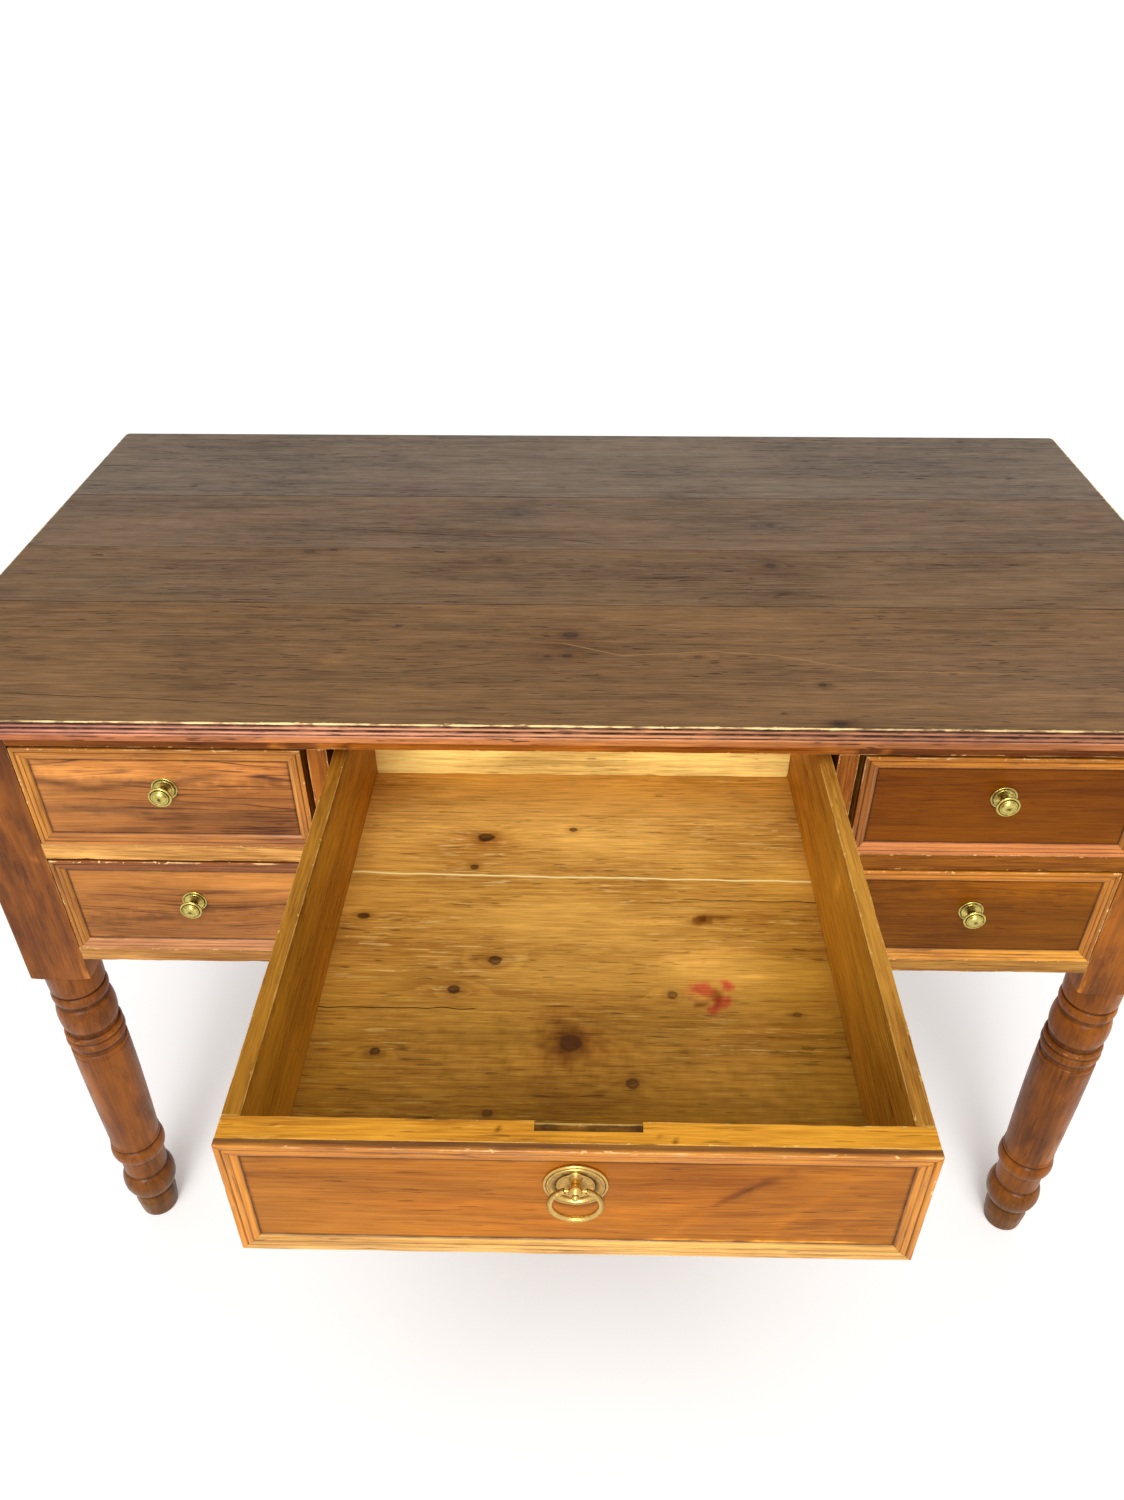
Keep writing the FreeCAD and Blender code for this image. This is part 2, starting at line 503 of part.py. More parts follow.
def drawer(name, left, width, floor, opening, face, fitting, extra_cuts=()):
    """The wooden pieces of one drawer; fitting is bored through the front, and face is its outer plane."""
    bottom = f"({floor} + running_gap)"
    height = f"({opening} - running_gap - front_top_gap)"
    high = f"({bottom} + {height})"
    core_face = f"({face} + moulding_thickness)"
    core_back = f"({core_face} + core_thickness)"
    end = f"({face} + {DRAWER_LENGTH})"
    side_low = f"({bottom} + drawer_bottom_thickness)"
    side_height = f"({high} - {side_low})"
    right = f"({left} + {width})"
    pitch = f"{side_height} / {TAILS_PER_CORNER}"

    sides, tails = [], []
    for side, x in (("left", left), ("right", f"({right} - drawer_side_thickness)")):
        side_tails = []
        for number in range(TAILS_PER_CORNER):
            middle = f"({side_low} + ({number} + 1 / 2) * {pitch})"
            end_half, root_half = f"{TAIL_END_SHARE} * {pitch} / 2", f"{TAIL_ROOT_SHARE} * {pitch} / 2"
            place = (x, f"{core_back} - tail_length", middle)
            side_tails.append(wedge(f"{name}_{side}_tail_{number}", place,
                                    ("0", "drawer_side_thickness", f"-{end_half}", end_half),
                                    ("0", "drawer_side_thickness", f"-{root_half}", root_half),
                                    "tail_length"))
        board = box(f"{name}_{side}_board", x, core_back, side_low, "drawer_side_thickness",
                    f"{end} - {core_back}", side_height)
        sides.append(joined(f"{name}_{side}_side", [board] + side_tails))
        tails += side_tails

    rebate = between(f"{name}_rebate", (left, right), (f"{core_back} - bottom_rebate", core_back),
                     (bottom, side_low))
    core_board = box(f"{name}_core_board", left, core_face, bottom, width, "core_thickness", height)
    core = cut(f"{name}_core", core_board, [rebate, fitting] + tails + list(extra_cuts))
    panel_board = box(f"{name}_panel_board", f"{left} + moulding_width", f"{core_face} - panel_thickness",
                      f"{bottom} + moulding_width", f"{width} - 2 * moulding_width", "panel_thickness",
                      f"{height} - 2 * moulding_width")
    panel = cut(f"{name}_panel", panel_board, [fitting])
    strips = mouldings(name, left, width, bottom, height, face)
    inside = (f"{left} + drawer_side_thickness", f"{right} - drawer_side_thickness")
    back = between(f"{name}_back", inside, (f"{end} - drawer_back_thickness", end),
                   (side_low, f"{high} - drawer_back_drop"))
    floor_board = between(f"{name}_bottom", (left, right), (f"{core_back} - bottom_rebate", end),
                          (bottom, side_low))
    return {"front": core, "panel": panel, "strips": strips, "sides": sides, "back": back,
            "bottom": floor_board}


def knob(name, x, z):
    """A stepped round plate, a mushroom knob on a neck, and the shank that holds it to the front."""
    panel_face = f"({SHUT_FACE} + moulding_thickness - panel_thickness)"
    seat = "(knob_plate_thickness + knob_step_rise)"
    shank = rod(f"{name}_shank", x, f"{panel_face} - {seat}", z, "knob_shank_radius",
                f"{seat} + panel_thickness + knob_shank_length", ALONG_Y)
    plate = Lathe(f"{name}_plate", x, panel_face, z, to_front=True)
    plate.disc("0", "knob_plate_thickness", "knob_plate_radius - knob_rim_radius / 2")
    plate.bead("knob_plate_thickness / 2", "knob_plate_radius", "knob_plate_thickness / 2")
    plate.cone("knob_plate_thickness", seat, "knob_plate_radius - knob_rim_radius",
               "knob_neck_radius + knob_rim_radius")
    head = Lathe(f"{name}_head", x, panel_face, z, to_front=True)
    head.disc(seat, "knob_reach - knob_dome_rise", "knob_neck_radius")
    rim = "knob_reach - knob_dome_rise - knob_rim_radius"
    head.cone(f"{rim} - knob_neck_radius", rim, "knob_neck_radius", "knob_radius - knob_rim_radius")
    head.bead(rim, "knob_radius", "knob_rim_radius")
    head.cone(rim, "knob_reach - knob_dome_rise / 2", "knob_radius - knob_rim_radius", "knob_flat_radius")
    head.cone("knob_reach - knob_dome_rise / 2", "knob_reach", "knob_flat_radius", "knob_neck_radius")
    plate = cut(f"{name}_plate_bored", plate.finish(), [shank])
    return shank, [plate, joined(f"{name}_body", [head.finish(), shank])]


def bank_drawers():
    """The four shut drawers, two in each bank."""
    pieces = []
    for level, floor, opening in (("upper", UPPER_FLOOR, "upper_opening_height"),
                                  ("lower", LOWER_FLOOR, "lower_opening_height")):
        name = f"{level}_left_drawer"
        middle_x = f"({BANK_LEFT} + {BANK_WIDTH} / 2)"
        middle_z = f"({floor} + {opening} / 2 + {level}_knob_rise)"
        shank, brass = knob(f"{level}_knob", middle_x, middle_z)
        made = drawer(name, BANK_LEFT, BANK_WIDTH, floor, opening, SHUT_FACE, shank)
        pieces += [(f"{name}_front", made["front"]),
                   (f"{name}_facing", group(f"{name}_facing", [made["panel"]] + made["strips"])),
                   (f"{name}_sides", group(f"{name}_sides", made["sides"])),
                   (f"{name}_back", made["back"]),
                   (f"{name}_bottom", made["bottom"]),
                   (f"{level}_left_knob", group(f"{level}_knob_set", brass))]
    for name, item in pieces:
        node(name, item)
        node(name.replace("left", "right"), mirrored(f"{item.Name}_mirror", item))


def middle_drawer():
    """The wide drawer, pulled out, with its ring pull."""
    high = f"({UPPER_FLOOR} + upper_opening_height - front_top_gap)"
    panel_face = f"({OPEN_FACE} + moulding_thickness - panel_thickness)"
    plate_z = f"({high} - pull_drop)"
    post_z = f"({plate_z} + pull_post_rise)"
    shank = rod("pull_shank", "0", panel_face, post_z, "pull_shank_radius",
                "panel_thickness + core_thickness - lock_depth - pull_shank_end_gap", ALONG_Y)
    lock = between("lock_recess", ("lock_offset - lock_width / 2", "lock_offset + lock_width / 2"),
                   (f"{OPEN_FACE} + moulding_thickness + core_thickness - lock_depth",
                    f"{OPEN_FACE} + moulding_thickness + core_thickness"),
                   (f"{high} - lock_height", high))
    made = drawer("centre_drawer", MIDDLE_LEFT, MIDDLE_WIDTH, UPPER_FLOOR, "upper_opening_height",
                  OPEN_FACE, shank, [lock])
    node("centre_drawer_front", made["front"])
    node("centre_drawer_panel", made["panel"])
    node("centre_drawer_mouldings", group("centre_drawer_strips", made["strips"]))
    node("centre_drawer_left_side", made["sides"][0])
    node("centre_drawer_right_side", made["sides"][1])
    node("centre_drawer_back", made["back"])
    node("centre_drawer_bottom", made["bottom"])

    plate = Lathe("pull_plate_turning", "0", panel_face, plate_z, to_front=True)
    plate.disc("0", "pull_plate_thickness", "pull_plate_radius - pull_rim_radius / 2")
    plate.ring("pull_rim_radius", "pull_plate_radius", "pull_rim_radius")
    plate.ring("pull_plate_thickness", "pull_second_rim_radius", "pull_rim_radius")
    plate.ring("pull_plate_thickness", "pull_inner_radius", "pull_rim_radius / 2")
    plate = plate.finish()
    post = Lathe("pull_post_turning", "0", panel_face, post_z, to_front=True)
    post.disc("0", "pull_reach", "pull_post_radius")
    post.put("Part::Sphere", "pull_reach", Radius="pull_head_radius")
    post.put("Part::Sphere", "pull_reach + pull_head_radius", Radius="pull_ball_radius")
    pivot_y = f"({panel_face} - pull_reach)"
    bore = rod("pull_bore", "-pull_head_radius", pivot_y, post_z, "ring_pin_bore", "2 * pull_head_radius",
               ALONG_X)
    post = cut("pull_post", joined("pull_post_solid", [post.finish(), shank]), [bore])
    node("pull_plate", cut("pull_plate_bored", plate, [post]))
    node("pull_post", post)

    node("pull_ring", ring_of_pull(pivot_y, post_z))


def ring_of_pull(pivot_y, pivot_z):
    """An open hoop whose ends carry the pins that turn in the post's head."""
    half_gap = "(pull_head_radius + ring_wire_radius + ring_end_gap)"
    drop = f"sqrt(ring_radius ^ 2 - {half_gap} ^ 2)"
    hoop = doc.addObject("Part::Torus", "pull_hoop")
    hoop.Placement = Placement(Vector(), ALONG_Y)
    bind(hoop, Radius1="ring_radius", Radius2="ring_wire_radius", x="0", y=pivot_y, z=f"{pivot_z} - {drop}")
    reach = "2 * ring_wire_radius"
    gap = between("pull_hoop_gap", (f"-{half_gap}", half_gap),
                  (f"{pivot_y} - {reach}", f"{pivot_y} + {reach}"),
                  (f"{pivot_z} - {drop}", f"{pivot_z} + ring_radius"))
    pieces = [cut("pull_hoop_open", hoop, [gap])]
    for side, pin_start in (("left", f"-{half_gap}"), ("right", "ring_pin_inset")):
        pieces.append(rod(f"ring_pin_{side}", pin_start, pivot_y, pivot_z, "ring_pin_radius",
                          f"{half_gap} - ring_pin_inset", ALONG_X))
    return joined("pull_ring_whole", pieces)


carcass()
top_and_screws()
bank_drawers()
middle_drawer()
doc.recompute()

for item in doc.Objects:
    if "Invalid" in item.State or "Error" in item.State:
        raise RuntimeError(f"{item.Name} did not rebuild: {item.State}")
os.makedirs("parts", exist_ok=True)
for item in NODES:
    shape = item.Shape
    if shape.isNull() or not shape.isValid() or not shape.Solids:
        raise RuntimeError(f"{item.Label} is not a sound solid")
    shape.exportStep(f"parts/{item.Label}.step")
    print(item.Label, len(shape.Solids), "solids", round(shape.Volume))
print(len(NODES), "sub-parts")
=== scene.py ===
# %% [markdown]
# # A kneehole writing desk, dressed around its frame
#
# The frame holds every piece of the desk at its real size. This lesson gives each piece the surface
# that the real one has: worn arrises, reeded and moulded edges, turned legs, growth rings that bend
# round knots, cracks, stains and old brass. All lengths are in metres, as Blender's are, so a length
# in millimetres is written with MM beside it. The front of the desk faces -Y.

# %% Load the frame
import json
import math
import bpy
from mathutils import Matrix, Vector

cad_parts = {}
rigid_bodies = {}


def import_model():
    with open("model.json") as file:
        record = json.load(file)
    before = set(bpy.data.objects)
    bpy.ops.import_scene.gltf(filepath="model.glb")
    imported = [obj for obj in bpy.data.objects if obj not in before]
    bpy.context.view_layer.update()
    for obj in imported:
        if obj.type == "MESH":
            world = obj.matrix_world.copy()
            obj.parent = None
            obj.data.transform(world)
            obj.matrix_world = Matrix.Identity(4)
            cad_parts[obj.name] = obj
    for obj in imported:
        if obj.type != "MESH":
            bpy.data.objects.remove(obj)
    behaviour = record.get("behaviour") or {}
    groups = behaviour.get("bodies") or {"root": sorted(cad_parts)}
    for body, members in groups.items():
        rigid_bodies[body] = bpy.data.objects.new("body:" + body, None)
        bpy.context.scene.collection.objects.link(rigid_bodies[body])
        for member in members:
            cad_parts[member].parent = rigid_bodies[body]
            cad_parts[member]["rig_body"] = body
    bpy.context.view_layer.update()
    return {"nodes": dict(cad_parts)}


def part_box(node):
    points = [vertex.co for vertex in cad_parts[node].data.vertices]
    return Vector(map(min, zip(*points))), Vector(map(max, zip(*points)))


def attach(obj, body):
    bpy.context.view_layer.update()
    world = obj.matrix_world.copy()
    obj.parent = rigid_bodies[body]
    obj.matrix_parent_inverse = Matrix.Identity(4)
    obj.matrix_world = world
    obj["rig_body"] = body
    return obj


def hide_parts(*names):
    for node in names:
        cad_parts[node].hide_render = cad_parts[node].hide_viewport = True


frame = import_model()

from types import SimpleNamespace

import bmesh
import bpy
import numpy as np
from mathutils import Matrix, Vector

MM = 0.001
NODES = frame["nodes"]

# %% [markdown]
# ## Places in the frame
#
# A piece takes its place from the box of the part that it dresses. A rail's part also has the tenons
# that hide in its neighbours, so only its visible stretch is dressed: `clipped` cuts a box back to
# the faces of the pieces that it meets.

# %% Boxes of the parts
def corners(node):
    """The lowest and highest corner of a part, as two arrays."""
    low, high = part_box(node)
    return np.array(low), np.array(high)


def clipped(node, axis, near, far):
    """The part's box, cut back to near and far along one axis."""
    low, high = corners(node)
    low[axis] = max(low[axis], near)
    high[axis] = min(high[axis], far)
    return low, high


X, Y, Z = 0, 1, 2
leg_face = corners("front_left_leg")[1][X]
rail_back = corners("top_front_rail")[1][Y]
front_face = corners("top_front_rail")[0][Y]
leg_square = rail_back - front_face
top_under = corners("top_front_board")[0][Z]
print("legs are", round(leg_square / MM, 1), "mm square, and the rails run between x =",
      round(leg_face, 3), "and", round(-leg_face, 3))

# %% [markdown]
# ## Surfaces from grids
#
# Every new surface here is a grid of points worked out at once with numpy. A grid's border often
# meets itself or another grid, so `welded` merges points that share a place. A square of the grid
# that has shrunk to a line is dropped, and one that has shrunk to three corners becomes a triangle,
# which is what closes the pole of a turned piece.

# %% Grids, welding and meshes
WELD = 1e-7
WAVES = 8
WAVE_STRETCH = (0.6, 1.6)
WAVE_SUM = 3.2
END_SHARES = np.array([0, 0.08, 0.2, 0.36, 0.58, 0.8, 1])


def grid_quads(rows, columns):
    """Four corner numbers of each cell of a grid, whose points are numbered row by row."""
    number = np.arange(rows * columns).reshape(rows, columns)
    cells = [number[:-1, :-1], number[1:, :-1], number[1:, 1:], number[:-1, 1:]]
    return np.stack(cells, -1).reshape(-1, 4)


def welded(points, quads):
    """Points without doubles, and the faces that are left: squares and triangles."""
    keys = np.round(points / WELD).astype(np.int64)
    _, first, number = np.unique(keys, axis=0, return_index=True, return_inverse=True)
    quads = number.reshape(-1)[quads]
    same = quads == np.roll(quads, -1, axis=1)
    doubles = same.sum(axis=1)
    across = (quads[:, 0] == quads[:, 2]) | (quads[:, 1] == quads[:, 3])
    squares = quads[(doubles == 0) & ~across]
    folded = quads[(doubles == 1) & ~across]
    start = np.argmax(same[(doubles == 1) & ~across], axis=1)
    columns = (start[:, None] + np.array([1, 2, 3])) % 4
    triangles = np.take_along_axis(folded, columns, axis=1)
    return first, squares, triangles


def noise_of(points, length, seed):
    """A wavy value, mostly from -1 to 1: sine waves of about this length in fixed directions, added up."""
    generator = np.random.default_rng(seed)
    waves = generator.normal(size=(WAVES, 3))
    waves *= 2 * math.pi / length / np.linalg.norm(waves, axis=1, keepdims=True)
    waves *= generator.uniform(*WAVE_STRETCH, (WAVES, 1))
    phases = generator.uniform(0, 2 * math.pi, WAVES)
    return np.sin(points @ waves.T + phases).sum(axis=1) / WAVE_SUM


def spaced(low, high, pitch, near):
    """Places from low to high, close together within `near` of both ends and a pitch apart between."""
    edge = near * END_SHARES
    count = max(2, int(round((high - low - 2 * near) / pitch)) + 1)
    middle = np.linspace(low + near, high - near, count)
    return np.concatenate([low + edge[:-1], middle, high - edge[:-1][::-1]])


def box_skin(xs, ys, zs):
    """Six faces of a box: each is a grid of the places along its two directions."""
    places = (xs, ys, zs)
    points, quads, count = [], [], 0
    for axis in (X, Y, Z):
        across, up = (axis + 1) % 3, (axis + 2) % 3
        first, second = np.meshgrid(places[across], places[up], indexing="ij")
        cells = grid_quads(*first.shape)
        for end, order in ((0, [0, 3, 2, 1]), (-1, [0, 1, 2, 3])):
            face = np.zeros((first.size, 3))
            face[:, axis] = places[axis][end]
            face[:, across] = first.ravel()
            face[:, up] = second.ravel()
            points.append(face)
            quads.append(cells[:, order] + count)
            count += first.size
    return np.concatenate(points), np.concatenate(quads)


def rounded(points, low, high, radius):
    """Carry points of a box to a box with round arrises: the nearest point of the inner box, plus the
    radius along the way out from it."""
    inner = np.clip(points, low + radius, high - radius)
    away = points - inner
    length = np.maximum(np.linalg.norm(away, axis=1, keepdims=True), 1e-12)
    return inner + radius * away / length


print("a box of 3 by 3 by 3 places has", len(box_skin(*[np.arange(3.0)] * 3)[1]), "squares")

# %% [markdown]
# ## What each point of the wood knows
#
# A board is a slice of a tree, so its pattern is solid: it runs through the board and comes out at
# the end as rings. Each mesh therefore carries its place in the tree as the attribute `grain`
# (along, across, deep). It also carries how far each point lies from the nearest arris, for wear,
# how deep it sits in a groove, for dirt, a `tint` for stains, the distance to its nearest knot, and
# three signed distances to cracks with their widths. A distance stays exact between two points of the
# grid, so a crack or a knot's rim that is finer than the grid is still sharp.

# %% Attributes and the piece maker
GRAIN_ORDER = {"x": (X, Y, Z), "y": (Y, X, Z), "z": (Z, X, Y)}
FAR = 1.0
KINDS = {1: ("FLOAT", "value"), 3: ("FLOAT_VECTOR", "vector"), 4: ("FLOAT_COLOR", "color")}
TREE_SHIFTS = ((-40, 40), (-0.03, 0.03), (0, 0.015))
STRAYS = ((18 * MM, 5, 0.2), (7 * MM, 6, 0.14))
BROAD = 25
CRACK_WANDER = (30 * MM, 0.6)
CRACK_TAPER = 0.12
PIECES = []


def tree_place(points, along, face, seed):
    """Coordinates along, across and into a board, shifted to a place of its own in the tree."""
    order = list(GRAIN_ORDER[along])
    if order[1] == face:
        order[1], order[2] = order[2], order[1]
    generator = np.random.default_rng(seed)
    shift = np.array([generator.uniform(*span) for span in TREE_SHIFTS])
    return points[:, order] - points[:, order].mean(axis=0) + shift


def marked(flat, marks):
    """A tint from soft marks: each is (place, place, half length, half width, colour, hardness) in mm, and
    a turn in degrees if it lies aslant. The colour multiplies the wood, fully at the mark's middle and
    less and less outside it. A mark's outline strays by a share of its size, and a broad one's by less."""
    tint = np.ones((len(flat), 4), np.float32)
    place = np.column_stack([flat, flat[:, :1] * 0]) * MM
    stray = sum(noise_of(place, length, seed) * share for length, seed, share in STRAYS)
    for place_u, place_v, half_u, half_v, colour, hardness, *slant in marks:
        turn = math.radians(slant[0] if slant else 0)
        u, v = flat[:, 0] - place_u, flat[:, 1] - place_v
        away = np.hypot((u * math.cos(turn) + v * math.sin(turn)) / half_u,
                        (v * math.cos(turn) - u * math.sin(turn)) / half_v)
        away = away * (1 + stray * min(1, BROAD / min(half_u, half_v)))
        share = 1 / (1 + np.maximum(away, 0) ** (2 * hardness))
        tint[:, :3] *= 1 - share[:, None] * (1 - np.array(colour))
    return tint


def knotted(flat, knots):
    """Distance to the nearest knot in knot radii, how dark that knot is, and the bend of the rings round
    all knots. A knot is (place, place, half length, half width, darkness, bend in rings), in mm."""
    nearest = np.full(len(flat), 4.0)
    darkness = np.zeros(len(flat))
    bend = np.zeros(len(flat))
    for place_u, place_v, half_u, half_v, dark, rings in knots:
        away = np.hypot((flat[:, 0] - place_u) / half_u, (flat[:, 1] - place_v) / half_v)
        closer = away < nearest
        nearest = np.where(closer, away, nearest)
        darkness = np.where(closer, dark, darkness)
        bend += rings * np.exp(-((flat[:, 0] - place_u) / (3.6 * half_u)) ** 2
                               - ((flat[:, 1] - place_v) / (2.2 * half_v)) ** 2)
    return np.column_stack([nearest, darkness, bend])


def lined(flat, lines):
    """Signed distances to up to three cracks, and their widths. Each crack is (points in mm, width in
    mm); it narrows to nothing at its ends."""
    away = np.full((len(flat), 3), FAR)
    width = np.zeros((len(flat), 3))
    for number, (route, wide) in enumerate(lines):
        route = np.array(route)
        middle = np.interp(flat[:, 0], route[:, 0], route[:, 1])
        run = np.column_stack([flat[:, 0], np.zeros((len(flat), 2))]) * MM
        middle += noise_of(run, CRACK_WANDER[0], number) * CRACK_WANDER[1]
        away[:, number] = (flat[:, 1] - middle) * MM
        inside = (flat[:, 0] - route[0, 0]) * (route[-1, 0] - flat[:, 0])
        share = np.clip(inside / (CRACK_TAPER * (route[-1, 0] - route[0, 0])) ** 2, 0, 1)
        width[:, number] = wide * MM * np.sqrt(share)
    return away, width


def wood_facts(points, along, face, seed, arris=0.02, recess=0.0, marks=(), knots=(), lines=(),
               plane=None, shade=(1, 1, 1), rubbed=0.0, wear=1.0, figured=1.0):
    """All the attributes that the wood materials read. Marks, knots and cracks lie in the face's plane."""
    plane = list(plane or (a for a in (X, Y, Z) if a != face))
    flat = points[:, plane] / MM
    tint = marked(flat, marks)
    tint[:, :3] *= np.array(shade)
    away, width = lined(flat, lines)
    whole = np.ones(len(points))
    return {
        "grain": tree_place(points, along, face, seed), "arris": arris * whole, "recess": recess * whole,
        "tint": tint, "knot": knotted(flat, knots), "cracks": away, "crack_widths": width,
        "extras": np.column_stack([rubbed * whole, wear * whole, figured * whole]),
    }


def add_facts(mesh, facts, chosen=None):
    """Write every fact to the mesh as an attribute of its points."""
    for key, values in facts.items():
        values = np.asarray(values, np.float32).reshape(len(values), -1)
        values = values if chosen is None else values[chosen]
        kind, field = KINDS[values.shape[1]]
        mesh.attributes.new(key, kind, "POINT").data.foreach_set(field, values.ravel())


def placed(name, mesh):
    """A new object that shows this mesh or lamp, in the scene and at the origin."""
    item = bpy.data.objects.new(name, mesh)
    bpy.context.scene.collection.objects.link(item)
    return item


def make_piece(name, shape, material, body, replaces, sharp=38):
    """A welded mesh with its attributes, riding on a body in place of the parts that it dresses."""
    points, quads, facts = shape
    first, squares, triangles = welded(points, quads)
    mesh = bpy.data.meshes.new(name)
    mesh.from_pydata(points[first].tolist(), [], squares.tolist() + triangles.tolist())
    mesh.polygons.foreach_set("use_smooth", np.ones(len(mesh.polygons), bool))
    mesh.set_sharp_from_angle(angle=math.radians(sharp))
    add_facts(mesh, facts, first)
    mesh.materials.append(material)
    piece = placed(name, mesh)
    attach(piece, body)
    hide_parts(*replaces)
    PIECES.append(piece)
    return piece


print("facts are kept as", sorted(kind for kind, _ in KINDS.values()))

# %% [markdown]
# ## Writing materials like sums
#
# A procedural material is a sum of simple patterns. `Signal` holds one value of the node tree, and
# Python's own signs add the Math nodes, so a formula for growth rings reads as a formula.

# %% Signals and small material helpers
def paint(red, green, blue):
    """A colour written as on a screen, 0 to 255, in the linear numbers that shaders use."""
    share = np.array([red, green, blue]) / 255
    linear = np.where(share <= 0.04045, share / 12.92, ((share + 0.055) / 1.055) ** 2.4)
    return (*map(float, linear), 1.0)


class Signal:
    """A value of a node tree that can be added, multiplied and so on."""

    def __init__(self, tree, socket):
        self.tree = tree
        self.socket = socket

    def math(self, operation, *others, clamp=False):
        """A Math node over this value and the others."""
        node = self.tree.nodes.new("ShaderNodeMath")
        node.operation = operation
        node.use_clamp = clamp
        for number, value in enumerate((self, *others)):
            feed(node.inputs[number], value)
        return Signal(self.tree, node.outputs[0])

    def __add__(self, other):
        return self.math("ADD", other)

    def __sub__(self, other):
        return self.math("SUBTRACT", other)

    def __mul__(self, other):
        return self.math("MULTIPLY", other)

    def __truediv__(self, other):
        return self.math("DIVIDE", other)

    def __pow__(self, other):
        return self.math("POWER", other)

    def size(self):
        """The value without its sign."""
        return self.math("ABSOLUTE")

    def clamped(self):
        """The value, kept from 0 to 1."""
        return self.math("ADD", 0.0, clamp=True)

    def between(self, low, high, start=0.0, end=1.0):
        """A smooth step from start to end while this value goes from low to high."""
        node = self.tree.nodes.new("ShaderNodeMapRange")
        node.interpolation_type = "SMOOTHSTEP"
        for key, value in (("Value", self), ("From Min", low), ("From Max", high), ("To Min", start),
                           ("To Max", end)):
            feed(node.inputs[key], value)
        return Signal(self.tree, node.outputs[0])

    def stretched(self, x, y, z):
        """This vector with its parts multiplied, which draws a pattern out or presses it together."""
        node = self.tree.nodes.new("ShaderNodeVectorMath")
        node.operation = "MULTIPLY"
        feed(node.inputs[0], self)
        node.inputs[1].default_value = (x, y, z)
        return Signal(self.tree, node.outputs[0])

    def noise(self, scale=1.0, detail=2.0, roughness=0.5, distortion=0.0):
        """Blender's noise over this vector, about 0.3 to 0.7."""
        node = self.tree.nodes.new("ShaderNodeTexNoise")
        for key, value in (("Vector", self), ("Scale", scale), ("Detail", detail),
                           ("Roughness", roughness), ("Distortion", distortion)):
            feed(node.inputs[key], value)
        return Signal(self.tree, node.outputs[0])

    def parts(self):
        """The three parts of this vector."""
        node = self.tree.nodes.new("ShaderNodeSeparateXYZ")
        feed(node.inputs[0], self)
        return [Signal(self.tree, output) for output in node.outputs]

    def mixed(self, first, second):
        """First colour where this value is 0, second where it is 1."""
        return blended(self.tree, self, first, second)


def feed(target, value):
    """Link a signal to a socket, or set the socket to a plain value."""
    if isinstance(value, Signal):
        value.tree.links.new(value.socket, target)
    else:
        target.default_value = value


def blended(tree, share, first, second, blend="MIX"):
    """A Mix node for colours. Its colour sockets are numbers 6 and 7, and its colour result number 2."""
    node = tree.nodes.new("ShaderNodeMix")
    node.data_type = "RGBA"
    node.blend_type = blend
    for number, value in ((0, share), (6, first), (7, second)):
        feed(node.inputs[number], value)
    return Signal(tree, node.outputs[2])


def multiply(tree, first, second):
    """Two colours multiplied; either may be a plain colour."""
    return blended(tree, 1.0, first, second, "MULTIPLY")


def vector_of(signals):
    """Three values as one vector."""
    tree = signals[0].tree
    node = tree.nodes.new("ShaderNodeCombineXYZ")
    for number, signal in enumerate(signals):
        feed(node.inputs[number], signal)
    return Signal(tree, node.outputs[0])


def new_material(name):
    """An empty principled material, its node tree and its shader node."""
    material = bpy.data.materials.new(name)
    material.use_nodes = True
    tree = material.node_tree
    return material, tree, tree.nodes["Principled BSDF"]


def attribute(tree, name, output="Vector"):
    """A fact of the mesh, as a vector, a colour or one number."""
    node = tree.nodes.new("ShaderNodeAttribute")
    node.attribute_name = name
    return Signal(tree, node.outputs[output])


def bumped(tree, shader, height, distance):
    """Let the light see a height without moving the mesh: a height of 1 stands this far out."""
    node = tree.nodes.new("ShaderNodeBump")
    node.inputs["Distance"].default_value = distance
    node.inputs["Strength"].default_value = 1.0
    feed(node.inputs["Height"], height)
    tree.links.new(node.outputs[0], shader.inputs["Normal"])


print("188 on a screen is", round(paint(188, 188, 188)[0], 3), "in linear light")

# %% [markdown]
# ## Wood
#
# A tree adds a pale soft layer and a thin hard dark line every year, wrapped round its pith. A board
# sawn some way from the pith shows those layers as long arches in the middle and straight lines at
# its sides. The value `ring` is the distance from the pith divided by one year's growth, bent by slow
# noise and by the knots. On top of it come strands, fine fibres, short dark dashes of open pores,
# broad clouds of tone and, in walnut, a dark flowing figure. Then age: dirt in the grooves, which also
# paints their shade, bare pale wood and chips where hands have rubbed an arris, which also paint its
# highlight, knots with a dark rim, and cracks. A solid pattern was chosen over a flat one because it
# needs no unwrapping and matches round every edge.

# %% What all finishes share
# dirt sets how dark the recesses turn, as dirt and painted shade; bare sets worn arrises, also painted
# highlights.
FINISH = {
    "year": 7 * MM, "pith": 60 * MM, "wander": 14 * MM, "rings": 0.25, "fibres": 0.3, "strands": 0.25,
    "clouds": 0.5, "dashes": 0.4, "figure": None, "bands": 0.5, "lines": 0.4, "mottle": 0.0,
    "bare_width": 0.8 * MM, "bare_depth": 0.6, "chips": 0.7, "dirt": 0.8, "rough": 0.42, "gloss": 0.15,
    "relief": 0.1 * MM, "third_line": None,
}
MEAN_TONE = 0.35
HALF = 0.5


def shaded(colour, *shares):
    """A plain colour times a share for red, one for green and one for blue."""
    return (*(part * share for part, share in zip(colour, shares)), 1.0)


